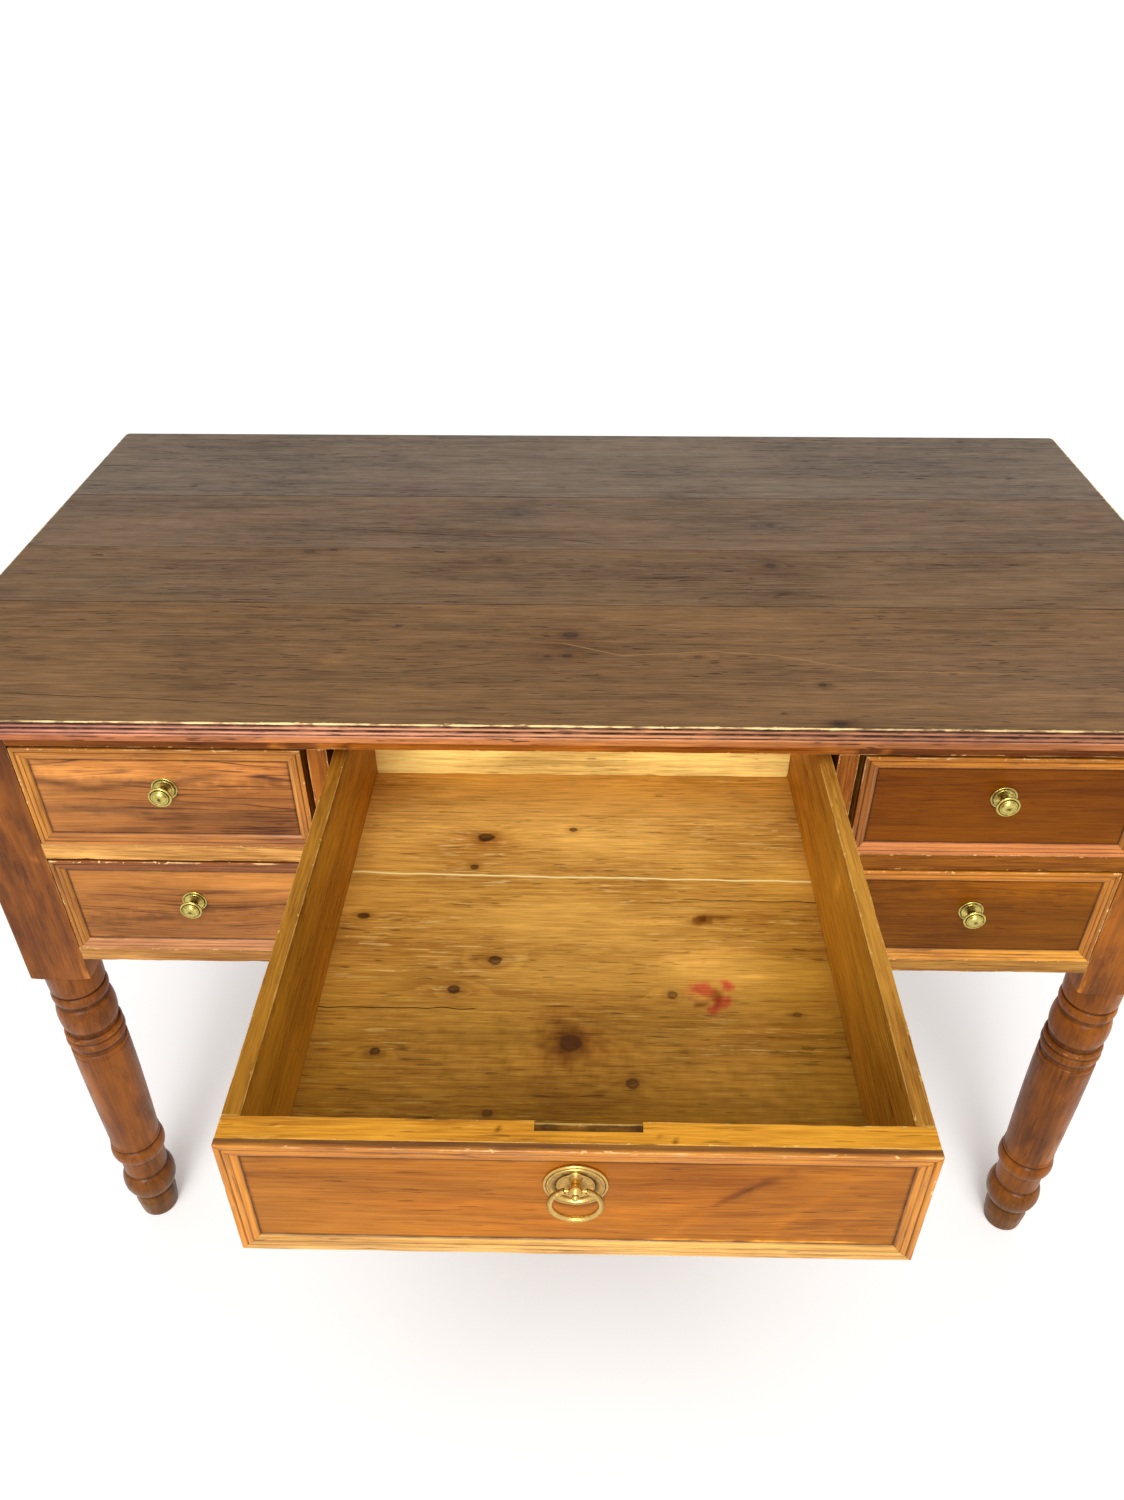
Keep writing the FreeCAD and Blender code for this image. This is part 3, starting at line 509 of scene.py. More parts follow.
class Grain:
    """The place in the tree, the facts of the mesh and the slow patterns that a finish is made of."""

    def __init__(self, tree, look):
        self.tree = tree
        self.look = look
        self.place = attribute(tree, "grain")
        self.along, self.across, self.deep = self.place.parts()
        self.knot_away, self.knot_dark, self.knot_bend = attribute(tree, "knot").parts()
        self.rubbed, self.wear, self.figured = attribute(tree, "extras").parts()
        self.slow = self.place.stretched(2.4, 9, 9).noise() - HALF
        self.quick = self.place.stretched(11, 60, 60).noise() - HALF
        self.cloud = self.place.stretched(5, 15, 15).noise(detail=3.0, roughness=0.6)
        self.patchy = self.place.stretched(45, 100, 100).noise(detail=3.0, roughness=0.6)
        self.fibre = self.place.stretched(34, 760, 760).noise(roughness=0.6)

    def drawn_out(self, across, long, fine):
        """A place whose pattern has `long` cells a metre along the grain and `fine` ones across it."""
        return vector_of([self.along * long, across * fine, self.deep * fine])


print("a finish is set by", len(FINISH), "values and four colours")

# %% [markdown]
# ## Growth, figure and pores
#
# The tone of the wood is one number from pale to dark. Rings raise it slowly through a year and drop it
# at once, strands and fibres draw it out along the grain, and clouds shift whole regions. Figure, blotches,
# pores and scratches are mixed over it as colours of their own.

# %% Growth and figure
def growth(grain):
    """The tone, 0 to 1, from rings, fibres, strands and clouds. Also the late wood and the strands."""
    look, cloud = grain.look, grain.cloud
    bent = grain.across + grain.slow * (look.wander * 1.4) + grain.quick * (look.wander * 0.16)
    to_pith = grain.deep + look.pith + grain.quick * (look.wander * 0.3)
    ring = (bent ** 2.0 + to_pith ** 2.0) ** 0.5 / look.year + grain.knot_bend
    phase = ring.math("FRACT")
    late = phase.between(0.25, 0.9) * phase.between(0.9, 1.0, 1.0, 0.0) * cloud.between(0.3, 0.6, 0.25, 1.0)
    strand = grain.drawn_out(bent + grain.knot_bend * (0.4 * MM), 13.0, 360.0).noise(roughness=0.6)
    tone = late * look.rings + (grain.fibre.between(0.25, 0.75) - 0.4) * look.fibres
    tone = tone + (strand.between(0.3, 0.7) - 0.4) * look.strands
    tone = tone + (cloud.between(0.3, 0.7) - 0.4) * look.clouds + MEAN_TONE
    return tone.clamped(), late, strand


def figure_and_pores(grain, colour):
    """Colour with figure, blotches, pores as dashes and bare scratches. Also the dashes alone."""
    look, cloud = grain.look, grain.cloud
    if look.figure:
        flow = grain.drawn_out(grain.across + grain.slow * 0.07, 2.6, 34.0).noise(1.0, 3.0, 0.55, 0.4)
        wavy = grain.drawn_out(grain.across + grain.slow * 0.06 + grain.quick * 0.004, 3.6, 95.0).noise()
        thin = (wavy - HALF).size().between(0.0, 0.035, 1.0, 0.0) * cloud.between(0.38, 0.6, 0.2, 1.0)
        colour = (flow.between(0.5, 0.68) * grain.figured * look.bands).mixed(colour, look.figure)
        colour = (thin * grain.figured * look.lines).mixed(colour, look.figure)
    if look.mottle:
        blotch = grain.place.stretched(16, 48, 48).noise(detail=4.0, roughness=0.65)
        colour = (blotch.between(0.48, 0.66) * look.mottle).mixed(colour, look.ink)
    dash = grain.drawn_out(grain.across, 44.0, 420.0).noise(detail=1.0).between(0.66, 0.71)
    colour = (dash * look.dashes * cloud.between(0.35, 0.6, 0.3, 1.0)).mixed(colour, look.ink)
    scratch = grain.drawn_out(grain.across, 24.0, 520.0).noise().between(0.55, 0.66)
    rubbed = scratch * grain.rubbed * grain.patchy.between(0.42, 0.62) * cloud.between(0.42, 0.6)
    return rubbed.mixed(colour, look.bare), dash


print("the tone before anything grows is", MEAN_TONE)

# %% [markdown]
# ## Knots, dirt, wear, painted shade and highlights, and cracks
#
# A knot is drawn by its distance alone: a halo, a dark rim and an uneven heart. Dirt follows the recess
# fact and also paints the shade in grooves, bare wood and chips follow the distance to the arris and
# also paint its highlight, and a crack opens where the signed distance to its line is smaller than its
# width. Small noise is added to each distance, so that no outline is smooth.

# %% Knots and age
def knots(grain, colour):
    """Colour with knots. Also their rims alone, which are dips."""
    ink, dark = grain.look.ink, grain.knot_dark
    away = grain.knot_away * 1.25 + (grain.patchy - HALF) * 1.3 + (grain.fibre - HALF) * 0.5
    heart = away.between(0.7, 1.0, 1.0, 0.0) * dark
    rim = away.between(0.6, 0.9) * away.between(0.9, 1.25, 1.0, 0.0) * dark
    halo = away.between(0.9, 2.9, 1.0, 0.0) * dark
    colour = (halo * 0.5).mixed(colour, multiply(grain.tree, colour, (0.5, 0.38, 0.28, 1)))
    colour = (heart * grain.patchy.between(0.3, 0.6, 1.0, 0.7)).mixed(colour, ink)
    return (rim * 0.75).mixed(colour, shaded(ink, 0.5, 0.45, 0.45)), rim


def dirt_wear_and_painted_light(grain, colour):
    """Colour with dirt and painted shade in recesses, worn arrises with painted highlights, and chips. Also
    the rub and the chips alone.
    """
    look, width = grain.look, grain.look.bare_width
    grime_and_shade = attribute(grain.tree, "recess", "Fac") * grain.patchy.between(0.25, 0.6, 0.6, 1.0)
    colour = (grime_and_shade * look.dirt).mixed(colour, shaded(look.ink, 0.6, 0.55, 0.55))
    arris = attribute(grain.tree, "arris", "Fac")
    rub_and_highlight = (arris + (grain.patchy - HALF) * (width * 4.0)).between(width * 0.1, width, 1.0, 0.0)
    rub_and_highlight = rub_and_highlight * grain.wear * look.bare_depth
    chip = grain.place.stretched(130, 190, 190).noise(roughness=0.6).between(0.63, 0.66)
    chip = chip * arris.between(width, width * 2.6, 1.0, 0.0) * grain.wear * look.chips
    return chip.mixed(rub_and_highlight.mixed(colour, look.bare), look.bare), rub_and_highlight, chip


def cracks(grain, colour, height):
    """Colour and height with three cracks. The third may be a pale line instead, such as old glue."""
    aways = attribute(grain.tree, "cracks").parts()
    widths = attribute(grain.tree, "crack_widths").parts()
    wriggle = grain.quick * (1.6 * MM)
    inside = shaded(grain.look.ink, 0.4, 0.32, 0.3)
    for away, width, pale in zip(aways, widths, (None, None, grain.look.third_line)):
        gap = ((away + wriggle).size() / (width + 1e-6)).between(0.35, 1.0, 1.0, 0.0)
        colour = gap.mixed(colour, pale or inside)
        height = height - gap * (0.5 if pale else 3.0)
    return colour, height


# %% [markdown]
# ## The six finishes
#
# The top is a brown stain on softwood, dulled and marked by use. Frame, legs and drawer panels are
# walnut with different polish, the mouldings are paler walnut, and the drawer linings are golden pine.
# Each finish is the same sum with its own colours and shares.

# %% The wood finishes
def wood(name, pale, dark, ink, bare, **changes):
    """One finish: growth and figure, the piece's own tint, then knots, dirt and wear, which also paint shade
    and highlights, and cracks.
    """
    material, tree, shader = new_material(name)
    look = SimpleNamespace(**(FINISH | {"ink": ink, "bare": bare} | changes))
    grain = Grain(tree, look)
    tone, late, strand = growth(grain)
    colour, dash = figure_and_pores(grain, tone.mixed(pale, dark))
    colour = multiply(tree, colour, attribute(tree, "tint", "Color"))
    colour, rim = knots(grain, colour)
    colour, rub_and_highlight, chip = dirt_wear_and_painted_light(grain, colour)
    height = grain.fibre * 0.4 + strand * 0.4 + late * 0.3 - dash * 1.0 - chip * 2.5 - rim * 1.0
    colour, height = cracks(grain, colour, height)
    feed(shader.inputs["Base Color"], colour)
    roughness = grain.patchy.between(0.3, 0.7, look.rough - 0.08, look.rough + 0.08)
    roughness = roughness + strand.between(0.3, 0.7) * 0.08 + rub_and_highlight * 0.15 + chip * 0.2
    feed(shader.inputs["Roughness"], roughness)
    shader.inputs["Specular IOR Level"].default_value = look.gloss
    bumped(tree, shader, height, look.relief)
    return material


TOP_WOOD = wood(
    "top_wood", paint(150, 114, 79), paint(100, 75, 53), paint(60, 42, 36), paint(255, 224, 156),
    year=9 * MM, pith=120 * MM, rings=0.2, fibres=0.6, strands=0.4, clouds=0.3, dashes=1.0, mottle=0.1,
    rough=0.5, gloss=0.1, bare_width=1.0 * MM, bare_depth=0.95, chips=0.5, dirt=0.97,
    third_line=paint(168, 126, 76))
FRAME_WOOD = wood(
    "frame_wood", paint(204, 132, 50), paint(128, 72, 20), paint(58, 28, 10), paint(244, 190, 116),
    fibres=0.4, strands=0.4, figure=paint(84, 40, 14), lines=0.25, gloss=0.1)
LEG_WOOD = wood(
    "leg_wood", paint(158, 92, 30), paint(96, 50, 15), paint(44, 20, 7), paint(226, 172, 104),
    rings=0.1, fibres=0.25, strands=0.2, clouds=0.8, figure=paint(66, 28, 10), lines=0.15,
    mottle=0.4, rough=0.3, gloss=0.17, chips=0.2, bare_depth=0.3)
PANEL_WOOD = wood(
    "panel_wood", paint(206, 130, 46), paint(146, 82, 23), paint(64, 32, 12), paint(230, 166, 96),
    year=12 * MM, pith=150 * MM, rings=0.15, fibres=0.35, strands=0.3, clouds=0.45, dashes=0.45,
    figure=paint(70, 38, 18), bands=0.4, lines=0.85, rough=0.34, gloss=0.08)
MOULDING_WOOD = wood(
    "moulding_wood", paint(218, 146, 58), paint(140, 80, 26), paint(50, 24, 10), paint(250, 208, 144),
    rings=0.2, strands=0.45, rough=0.28, gloss=0.25, dirt=0.95)
PINE = wood(
    "golden_pine", paint(224, 162, 64), paint(160, 104, 34), paint(46, 21, 7), paint(248, 206, 120),
    year=5 * MM, pith=90 * MM, rings=0.2, fibres=0.5, clouds=0.6, dashes=0.5, rough=0.5, gloss=0.12,
    strands=0.3, bare_depth=0.4, chips=0.5, relief=0.14 * MM, dirt=0.92, third_line=paint(255, 236, 160))
print("wood finishes:", [m.name for m in bpy.data.materials if m.node_tree])

# %% [markdown]
# ## Boards with worn arrises
#
# Rails, posts and panels are boards. A plain box would be too sharp: real arrises are rounded by
# planing and by a century of hands, more in some places than in others. `board` makes a grid over
# the six faces of the box, then carries each point to a box with round arrises whose radius
# wanders along the edge, with a few deeper bruises. A bevel would give one even radius, so it isn't used.

# %% Boards
BRUISE_SHARES = (0.4, 1.0)
BRUISE_REACH = (2 * MM, 6 * MM)


def arris_distance(points, low, high):
    """Distance from the nearest arris of a box: the second smallest distance to its six faces."""
    to_faces = np.minimum(points - low, high - points)
    return np.sort(to_faces, axis=1)[:, 1]


def bruised(wear, points, low, high, generator, bruise):
    """The radius of the arrises with one dent added: a bump that falls off from a place on an edge."""
    size = high - low
    place = low + generator.uniform(0, 1, 3) * size
    side = generator.integers(0, 2, 3)
    along = int(np.argmax(size))
    corner = np.where(side == 0, low, high)
    corner[along] = place[along]
    away = np.linalg.norm(points - corner, axis=1)
    depth = generator.uniform(*BRUISE_SHARES) * bruise
    return wear + depth * np.exp(-(away / generator.uniform(*BRUISE_REACH)) ** 2)


def board_surface(low, high, radius=0.9 * MM, pitch=7 * MM, seed=0, bruises=10, bruise=1.2 * MM,
                  pitches=None, cuts=None):
    """A worn board: points, faces and the distance of each point from an arris. The grid is a pitch
    apart, or has a pitch for each axis, with more places where `cuts` names some along an axis."""
    size = high - low
    near = np.minimum(3 * MM, size * 0.3)
    steps = pitches or (pitch, pitch, pitch)
    grids = [spaced(low[a], high[a], steps[a], near[a]) for a in (X, Y, Z)]
    for axis, places in (cuts or {}).items():
        grids[axis] = np.unique(np.concatenate([grids[axis], places]))
    points, quads = box_skin(*grids)
    arris = arris_distance(points, low, high)
    generator = np.random.default_rng(seed + 100)
    wear = radius * (1 + 0.45 * noise_of(points, 0.05, seed) + 0.25 * noise_of(points, 0.012, seed + 1))
    for _ in range(bruises):
        wear = bruised(wear, points, low, high, generator, bruise)
    wear = np.clip(wear, 0.25 * radius, np.min(size) * 0.4)[:, None]
    return rounded(points, low, high, wear), quads, arris


def plain_board(low, high, along, face, seed, radius=0.9 * MM, pitch=7 * MM, bruises=10, pitches=None,
                **looks):
    """A worn board with its facts: its grain runs `along` an axis and its wide face looks along `face`."""
    points, quads, arris = board_surface(low, high, radius, pitch, seed, bruises, pitches=pitches)
    return points, quads, wood_facts(points, along, face, seed, arris=arris, **looks)


def board(name, node, low, high, along, face, material, slot, seed, **looks):
    """Dress one straight board."""
    shape = plain_board(low, high, along, face, seed, **looks)
    return make_piece(name, shape, material, NODES[node]["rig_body"], [node])


sample = board_surface(np.zeros(3), np.array([1000, 60, 20]) * MM)[0]
print("a board of 1000 by 60 by 20 mm has", len(sample), "points")

# %% [markdown]
# ## The frame's rails, posts and panels
#
# The two banks have aged apart: the left rails are pale and violet, the right ones brown and red, so
# each rail has its own tint. Where a knee and the drawers rub, their arrises get more bruises.

# %% Rails, posts and panels
SIDES = (("left", -1), ("right", 1))
EDGE_CHIPS = 26
RAIL_TINTS = {
    ("left", "middle_rail"): (1.6, 2.15, 4.2), ("left", "bottom_rail"): (1.08, 1.35, 2.6),
    ("right", "middle_rail"): (0.72, 0.65, 0.32), ("right", "bottom_rail"): (1.08, 1.42, 2.1),
}
SHADED_SIDE = {"shade": (0.82, 0.72, 0.6), "figured": 0.5}


def frame_board(name, node, span, along, face, seed, **looks):
    """Dress a board of the frame in walnut, cut back to a span along its grain."""
    low, high = clipped(node, "xyz".index(along), *span)
    return board(name, node, low, high, along, face, FRAME_WOOD, "walnut_frame", seed, **looks)


top_rail_under = corners("top_front_rail")[0][Z]
# The rail's face is darkened as painted shadow under the top's overhang; at the kneehole a mark lifts it to
# gold.
frame_board("top_rail", "top_front_rail", (leg_face, -leg_face), "x", Y, 1,
            shade=(0.46, 0.34, 0.32), marks=[(0, 745, 236, 60, (3.1, 3.7, 3.2), 30)])
frame_board("kneehole_rail", "centre_rail", (corners("left_post")[1][X], corners("right_post")[0][X]),
            "x", Y, 2)
for side, sign in SIDES:
    post_low, post_high = corners(f"{side}_post")
    upright = (corners(f"{side}_bottom_rail")[1][Z], top_rail_under)
    frame_board(f"{side}_upright", f"{side}_post", upright, "z", Y, 3 + sign, shade=(0.82, 0.7, 0.6))
    spans = {"middle_rail": (leg_face, post_low[X]) if sign < 0 else (post_high[X], -leg_face),
             "bottom_rail": (leg_face, post_high[X]) if sign < 0 else (post_low[X], -leg_face)}
    for rail, span in spans.items():
        frame_board(f"{side}_{rail}_dressed", f"{side}_{rail}", span, "x", Y, 11 + 2 * sign + len(rail),
                    pitch=5 * MM, bruises=EDGE_CHIPS, shade=RAIL_TINTS[side, rail], figured=0.7)
    frame_board(f"{side}_end_panel", f"{side}_side_panel", (rail_back, -rail_back), "y", X, 31 + sign,
                pitch=14 * MM, **SHADED_SIDE)
    board(f"{side}_division", f"{side}_partition", *corners(f"{side}_partition"), "y", X, PINE, "pine",
          41 + sign, pitch=14 * MM)
frame_board("rear_panel", "back_panel", (leg_face, -leg_face), "x", Y, 51, pitch=16 * MM, **SHADED_SIDE)
print("boards so far:", len(PIECES))

# %% [markdown]
# ## Turned legs
#
# A leg starts as a square post. The turner leaves the top square for the joints and cuts the rest to
# a profile of beads, balls and grooves. In polar coordinates about the turning axis both are one
# surface: the radius is the smaller of the square's radius in that direction and the turned radius at
# that height. The angles crowd towards the square's four corners, and the heights crowd where a bead
# is steep. A lathe's Spin tool would make the round part, but not its passage into the square.

# %% The turned profile
# Each bead is (height of its middle, radius, half height, core radius) in mm, from the floor up.
BEADS = [
    (64, 30.6, 20.3, 21.5), (128, 31.1, 12.2, 25.4), (144.5, 28.9, 2.6, 27.2), (317, 30.4, 3.2, 28.6),
    (333.5, 31.3, 6.2, 28.0), (343.5, 30.8, 4.4, 27.6), (371.5, 30.7, 19.0, 26.0), (402.5, 29.5, 6.8, 26.6),
]
# The plain stretches between the beads, as (height, radius) in mm.
CORE = [
    (0, 20.4), (1.2, 21.5), (8, 22.6), (26, 24.2), (37, 23.5), (42, 21.6), (45, 21.8), (82, 24.6),
    (88, 25.4), (111, 25.4), (116, 26), (139, 27.2), (143, 27.6), (148, 28.0), (175, 28.8), (210, 29.6),
    (250, 30.3), (290, 30.6), (311, 30.4), (316, 29), (324, 28.4), (349, 27.4), (353, 27), (390, 26.6),
    (395, 26.4), (410, 26.8), (414, 28.6), (426, 29.0), (438, 29.0), (444, 28.8),
]
SHOULDER = 5


def turned_radius(heights):
    """The radius at each height: the core, or an ellipse of a bead where that stands out further."""
    radius = np.interp(heights, *zip(*CORE))
    for middle, wide, half, core in BEADS:
        share = np.clip(1 - ((heights - middle) / half) ** 2, 0, 1)
        radius = np.maximum(radius, np.where(share > 0, core + (wide - core) * np.sqrt(share), 0))
    return radius


def leg_heights(under, top):
    """Heights in mm that crowd where a bead is steep."""
    turn = np.linspace(-math.pi / 2, math.pi / 2, 17)
    heights = [middle + half * np.sin(turn) for middle, _, half, _ in BEADS]
    heights.append(np.arange(0, under, 4.0))
    heights.append([height for height, _ in CORE] + [under - 0.01])
    heights.append(under + SHOULDER * (1 - np.cos(np.linspace(0, math.pi / 2, 9))))
    heights.append(np.arange(under + SHOULDER + 4, top - 2, 6.0))
    return np.unique(np.round(np.concatenate(heights + [[top - 1, top]]), 3))


turned_part = turned_radius(np.arange(0.0, CORE[-1][0]))
print("the turning is", round(2 * turned_part.max(), 1), "mm thick and", round(2 * turned_part.min(), 1),
      "mm at its thinnest")

# %% [markdown]
# ## From the turning to the square block
#
# The directions round the axis are shared by both. A direction meets the square's side at its reach,
# and the shoulder opens like a quarter of an ellipse from the turned radius to beyond the corners.

# %% The leg's surface
CORNER_REACH = 47
OPEN_SHOULDER = 0.1
SAMPLE = 0.5
SAMPLES_EACH_WAY = 14
CREST_WEAR = (6 * MM, 5.2 * MM)


def leg_axis(node):
    """The middle of the sole, in plan."""
    vertices = np.zeros(len(NODES[node].data.vertices) * 3)
    NODES[node].data.vertices.foreach_get("co", vertices)
    sole = vertices.reshape(-1, 3)
    sole = sole[sole[:, Z] < 1 * MM]
    return (sole.min(axis=0) + sole.max(axis=0))[:2] / 2


def square_ways(axis, plan_low, plan_high):
    """Directions about the axis that crowd at a square's corners, and the square's radius in each."""
    square = np.array([[plan_low[0], plan_low[1]], [plan_high[0], plan_low[1]],
                       [plan_high[0], plan_high[1]], [plan_low[0], plan_high[1]]]) - axis
    turns = np.unwrap(np.arctan2(square[:, 1], square[:, 0]))
    turns = np.append(turns, turns[0] + 2 * math.pi)
    crowd = (1 - np.cos(np.linspace(0, math.pi, 25))) / 2
    angles = np.concatenate([start + (end - start) * crowd[:-1] for start, end in zip(turns, turns[1:])])
    angles = np.append(angles, angles[0] + 2 * math.pi)
    ways = np.column_stack([np.cos(angles), np.sin(angles)])
    with np.errstate(divide="ignore"):
        reach = np.min(np.where(ways > 0, (plan_high - axis) / ways, (plan_low - axis) / ways), axis=1)
    ways[-1], reach[-1] = ways[0], reach[0]
    return ways, reach


def grooves_and_crests(heights, turned, under):
    """A groove is where the turning lies inside its own average over 14 mm, and a crest where outside."""
    even = np.arange(0, under, SAMPLE)
    padded = np.pad(turned_radius(even), SAMPLES_EACH_WAY, mode="edge")
    window = 2 * SAMPLES_EACH_WAY + 1
    average = np.convolve(padded, np.ones(window) / window, mode="valid")
    smooth = np.interp(heights, even, average) * MM
    is_turned = heights < under
    recess = np.where(is_turned, np.clip((smooth - turned) / (1.5 * MM) - 0.1, 0, 1), 0)
    crest = np.where(is_turned, np.clip((turned - smooth) / (1.3 * MM), 0, 1), 0)
    return recess, crest


def leg(name, node, block_low, block_high, seed, **looks):
    """One leg: a square block that turns round below, closed at the sole and at the top."""
    axis = leg_axis(node)
    under, top = block_low[Z] / MM, block_high[Z] / MM
    heights = leg_heights(under, top)
    turned = turned_radius(heights) * MM
    above = (heights - under) * MM
    rise = np.clip((heights - under) / SHOULDER, 0, 1)
    shoulder = (CORE[-1][1] + (CORNER_REACH - CORE[-1][1]) * np.sqrt(1 - (1 - rise) ** 2)) * MM
    shoulder = np.where(rise >= 1, OPEN_SHOULDER, shoulder)
    limit = np.where(above < 0, turned, shoulder)
    plan_low, plan_high = block_low[:2], block_high[:2]
    ways, reach = square_ways(axis, plan_low, plan_high)
    radius = np.minimum(limit[:, None], reach[None, :])
    radius[above < 0] = turned[above < 0][:, None]
    in_block = (above[:, None] > 0) & (radius >= reach[None, :] - 1e-9)
    recess, crest = grooves_and_crests(heights, turned, under)
    rows, columns = radius.shape
    plan = axis + radius[:, :, None] * ways[None, :, :]
    points = np.concatenate([plan, np.repeat(heights[:, None, None] * MM, columns, axis=1)], axis=2)
    to_edges = np.sort(np.minimum(np.abs(plan - plan_low), np.abs(plan_high - plan)), axis=2)[:, :, 1]
    arris = np.where(in_block, to_edges, CREST_WEAR[0] - CREST_WEAR[1] * crest[:, None])
    # Close both ends: a row of points on the axis at the sole and at the top.
    ends = [np.broadcast_to(np.array([*axis, z]), (1, columns, 3)) for z in (0, heights[-1] * MM)]
    points = np.concatenate([ends[0], points, ends[1]]).reshape(-1, 3)
    arris = np.concatenate([arris[:1], arris, np.full((1, columns), 0.02)]).ravel()
    recess = np.repeat(np.concatenate([recess[:1], recess, recess[-1:]]), columns)
    block = np.concatenate([in_block[:1], in_block, in_block[-1:]]).ravel()
    wear = (1.3 * MM * (1 + 0.4 * noise_of(points, 0.06, seed)))[:, None]
    soft = rounded(points, np.append(plan_low, -1), np.append(plan_high, 2), wear)
    points = np.where(block[:, None], soft, points)
    quads = grid_quads(rows + 2, columns)[:, ::-1]
    facts = wood_facts(points, "z", X, seed, arris=arris, recess=recess, plane=(X, Z), **looks)
    make_piece(name, (points, quads, facts), LEG_WOOD, "carcass", [node], sharp=50)


corner_ways, corner_reach = square_ways(np.zeros(2), -np.ones(2), np.ones(2))
print("a square's corners lie", round(corner_reach.max(), 3), "half sides out, in", len(corner_ways), "ways")

# %% [markdown]
# ## Four legs
#
# All four are one turning. The feet have gone a little green, the right pair is redder than the left,
# and pale splinters show where the block's lower corners were knocked. Marks are (x, height) in mm.

# %% The four legs
BLOCK_HEIGHT = 318 * MM
LEG_MIDDLE = 532
SPLINTER = (1.9, 2.1, 2.4)
FOOT_GREEN = (0.6, 0.7, 0.5)
LEFT_SPLINTERS = [(-527, 336, 3, 2, SPLINTER, 2), (-541, 322, 2.5, 1.6, SPLINTER, 2),
                  (-512, 610, 2.4, 2.4, SPLINTER, 2)]
for depth, face_low, face_high in (("front", front_face, rail_back), ("back", -rail_back, -front_face)):
    for side, sign in SIDES:
        edges = sorted((sign * -leg_face, sign * (-leg_face + leg_square)))
        marks = [(sign * 503, 449, 2.2, 6, SPLINTER, 2), (sign * 505, 462, 1.6, 3, SPLINTER, 2),
                 (sign * LEG_MIDDLE, 20, 60, 60, FOOT_GREEN, 1.6)]
        leg(f"{depth}_{side}_turned_leg", f"{depth}_{side}_leg",
            np.array([edges[0], face_low, top_under - BLOCK_HEIGHT]),
            np.array([edges[1], face_high, top_under]),
            61 + sign + 4 * (depth == "back"), marks=marks + (LEFT_SPLINTERS if sign < 0 else []),
            shade=(1.04, 1.0, 0.9) if sign < 0 else (1.12, 1.03, 0.18))
print("legs stand", round(top_under, 3), "m high")

# %% [markdown]
# ## The top
#
# Four boards are glued edge to edge, and a plane with a reeding cutter has run round the front and
# the sides. The grid of each board is a box again. Its points are first drawn in by the depth of the
# reeds at their level, then the two outer corners are turned round: squares round the corner's centre
# shrink to circles. The glued edges keep a hair's breadth of rounding and hold a dark line of dirt, so
# the joints show.

# %% The reeded edge
CORNER_RADIUS = 6 * MM
TOP_ARRIS = 0.9
REEDS = ((2.4, 1.15), (7.2, 1.15), (11.5, 0.8))
BETWEEN_REEDS = 0.55
LAST_REED = 13.0
TOP_THICK = 20
TOP_DROPS = np.unique(np.concatenate([
    [0, 0.15, 0.35, 0.6, TOP_ARRIS], np.arange(1.1, LAST_REED, 0.24), [14.5, 16.5, 18.5, 19.1, 19.4, 19.7],
    [TOP_THICK]]))


def reed_inset(drops):
    """How far the edge is drawn in, at each drop below the top in mm: arris, grooves and round beads."""
    inset = 1.0 * np.clip(1 - drops / TOP_ARRIS, 0, 1) ** 2
    for middle, radius in REEDS:
        inset = np.maximum(inset, np.sqrt(np.clip(radius ** 2 - (drops - middle) ** 2, 0, None)))
    for (low, low_radius), (high, high_radius) in zip(REEDS, REEDS[1:]):
        start, end = low + low_radius, high - high_radius
        share = np.clip((drops - start) / (end - start), 0, 1)
        bead = BETWEEN_REEDS * np.abs(2 * share - 1) ** 2.5
        inset = np.maximum(inset, bead * (drops > start) * (drops < end))
    return np.maximum(inset, 0.9 * np.clip(1 - (TOP_THICK - drops) / TOP_ARRIS, 0, 1) ** 2)


def from_inner(points, low, high, front, back):
    """In plan: the nearest point of the rectangle between the corners' centres, and the way out from it.
    An edge that is a joint has no corners, so the rectangle reaches it."""
    inner_low = np.array([low[X] + CORNER_RADIUS, low[Y] + (CORNER_RADIUS if front else 0)])
    inner_high = np.array([high[X] - CORNER_RADIUS, high[Y] - (CORNER_RADIUS if back else 0)])
    inner = np.clip(points[:, :2], inner_low, inner_high)
    return inner, points[:, :2] - inner


def drawn_in(inner, away, inset):
    """Points in plan, moved in by the inset, and at the corners from squares to circles: the way out
    from the inner point is kept, and its longer part becomes its length."""
    reach = np.abs(away).max(axis=1, keepdims=True)
    length = np.maximum(np.linalg.norm(away, axis=1, keepdims=True), 1e-12)
    return inner + away / length * reach * (CORNER_RADIUS - inset[:, None]) / CORNER_RADIUS


print("the edge is drawn in by up to", round(reed_inset(TOP_DROPS).max(), 2), "mm")

# %% [markdown]
# ## The boards of the top
#
# A reeded edge has its own reddish polish, with painted highlights that are brightest in the middle, where
# the light from the front catches it. Each board is tinted by its own tone, and the back boards also by a
# painted grey reflection.

# %% Boards of the top
TOP_PITCH = (4.2 * MM, 3.2 * MM)
JOINT_HAIR = (0.2, 0.18, 1.1)
TOP_WAVES = ((0.12, 0.16, 3), (0.05, 0.04, 4))
JOINT_DIRT = 0.9
# The reeds' tint along x: their reddish polish with painted highlights, brightest in the middle.
REED_PLACES = (-500, -120, 40, 300)
REED_POLISH_AND_HIGHLIGHTS = ((2.5, 3.9, 3.5, 2.2), (1.75, 3.2, 2.9, 1.6), (2.4, 3.6, 2.8, 1.6))
BELOW_REEDS = (0.78, 0.66, 0.42)
# How far the arrises are worn along x; on the front arris this also paints the bright highlight line.
WEAR_PLACES = (-470, -455, -280, -265, 205, 225)
WEAR_AND_HIGHLIGHT_SHARES = (0.4, 1.1, 1.1, 1.5, 1.5, 0.8)


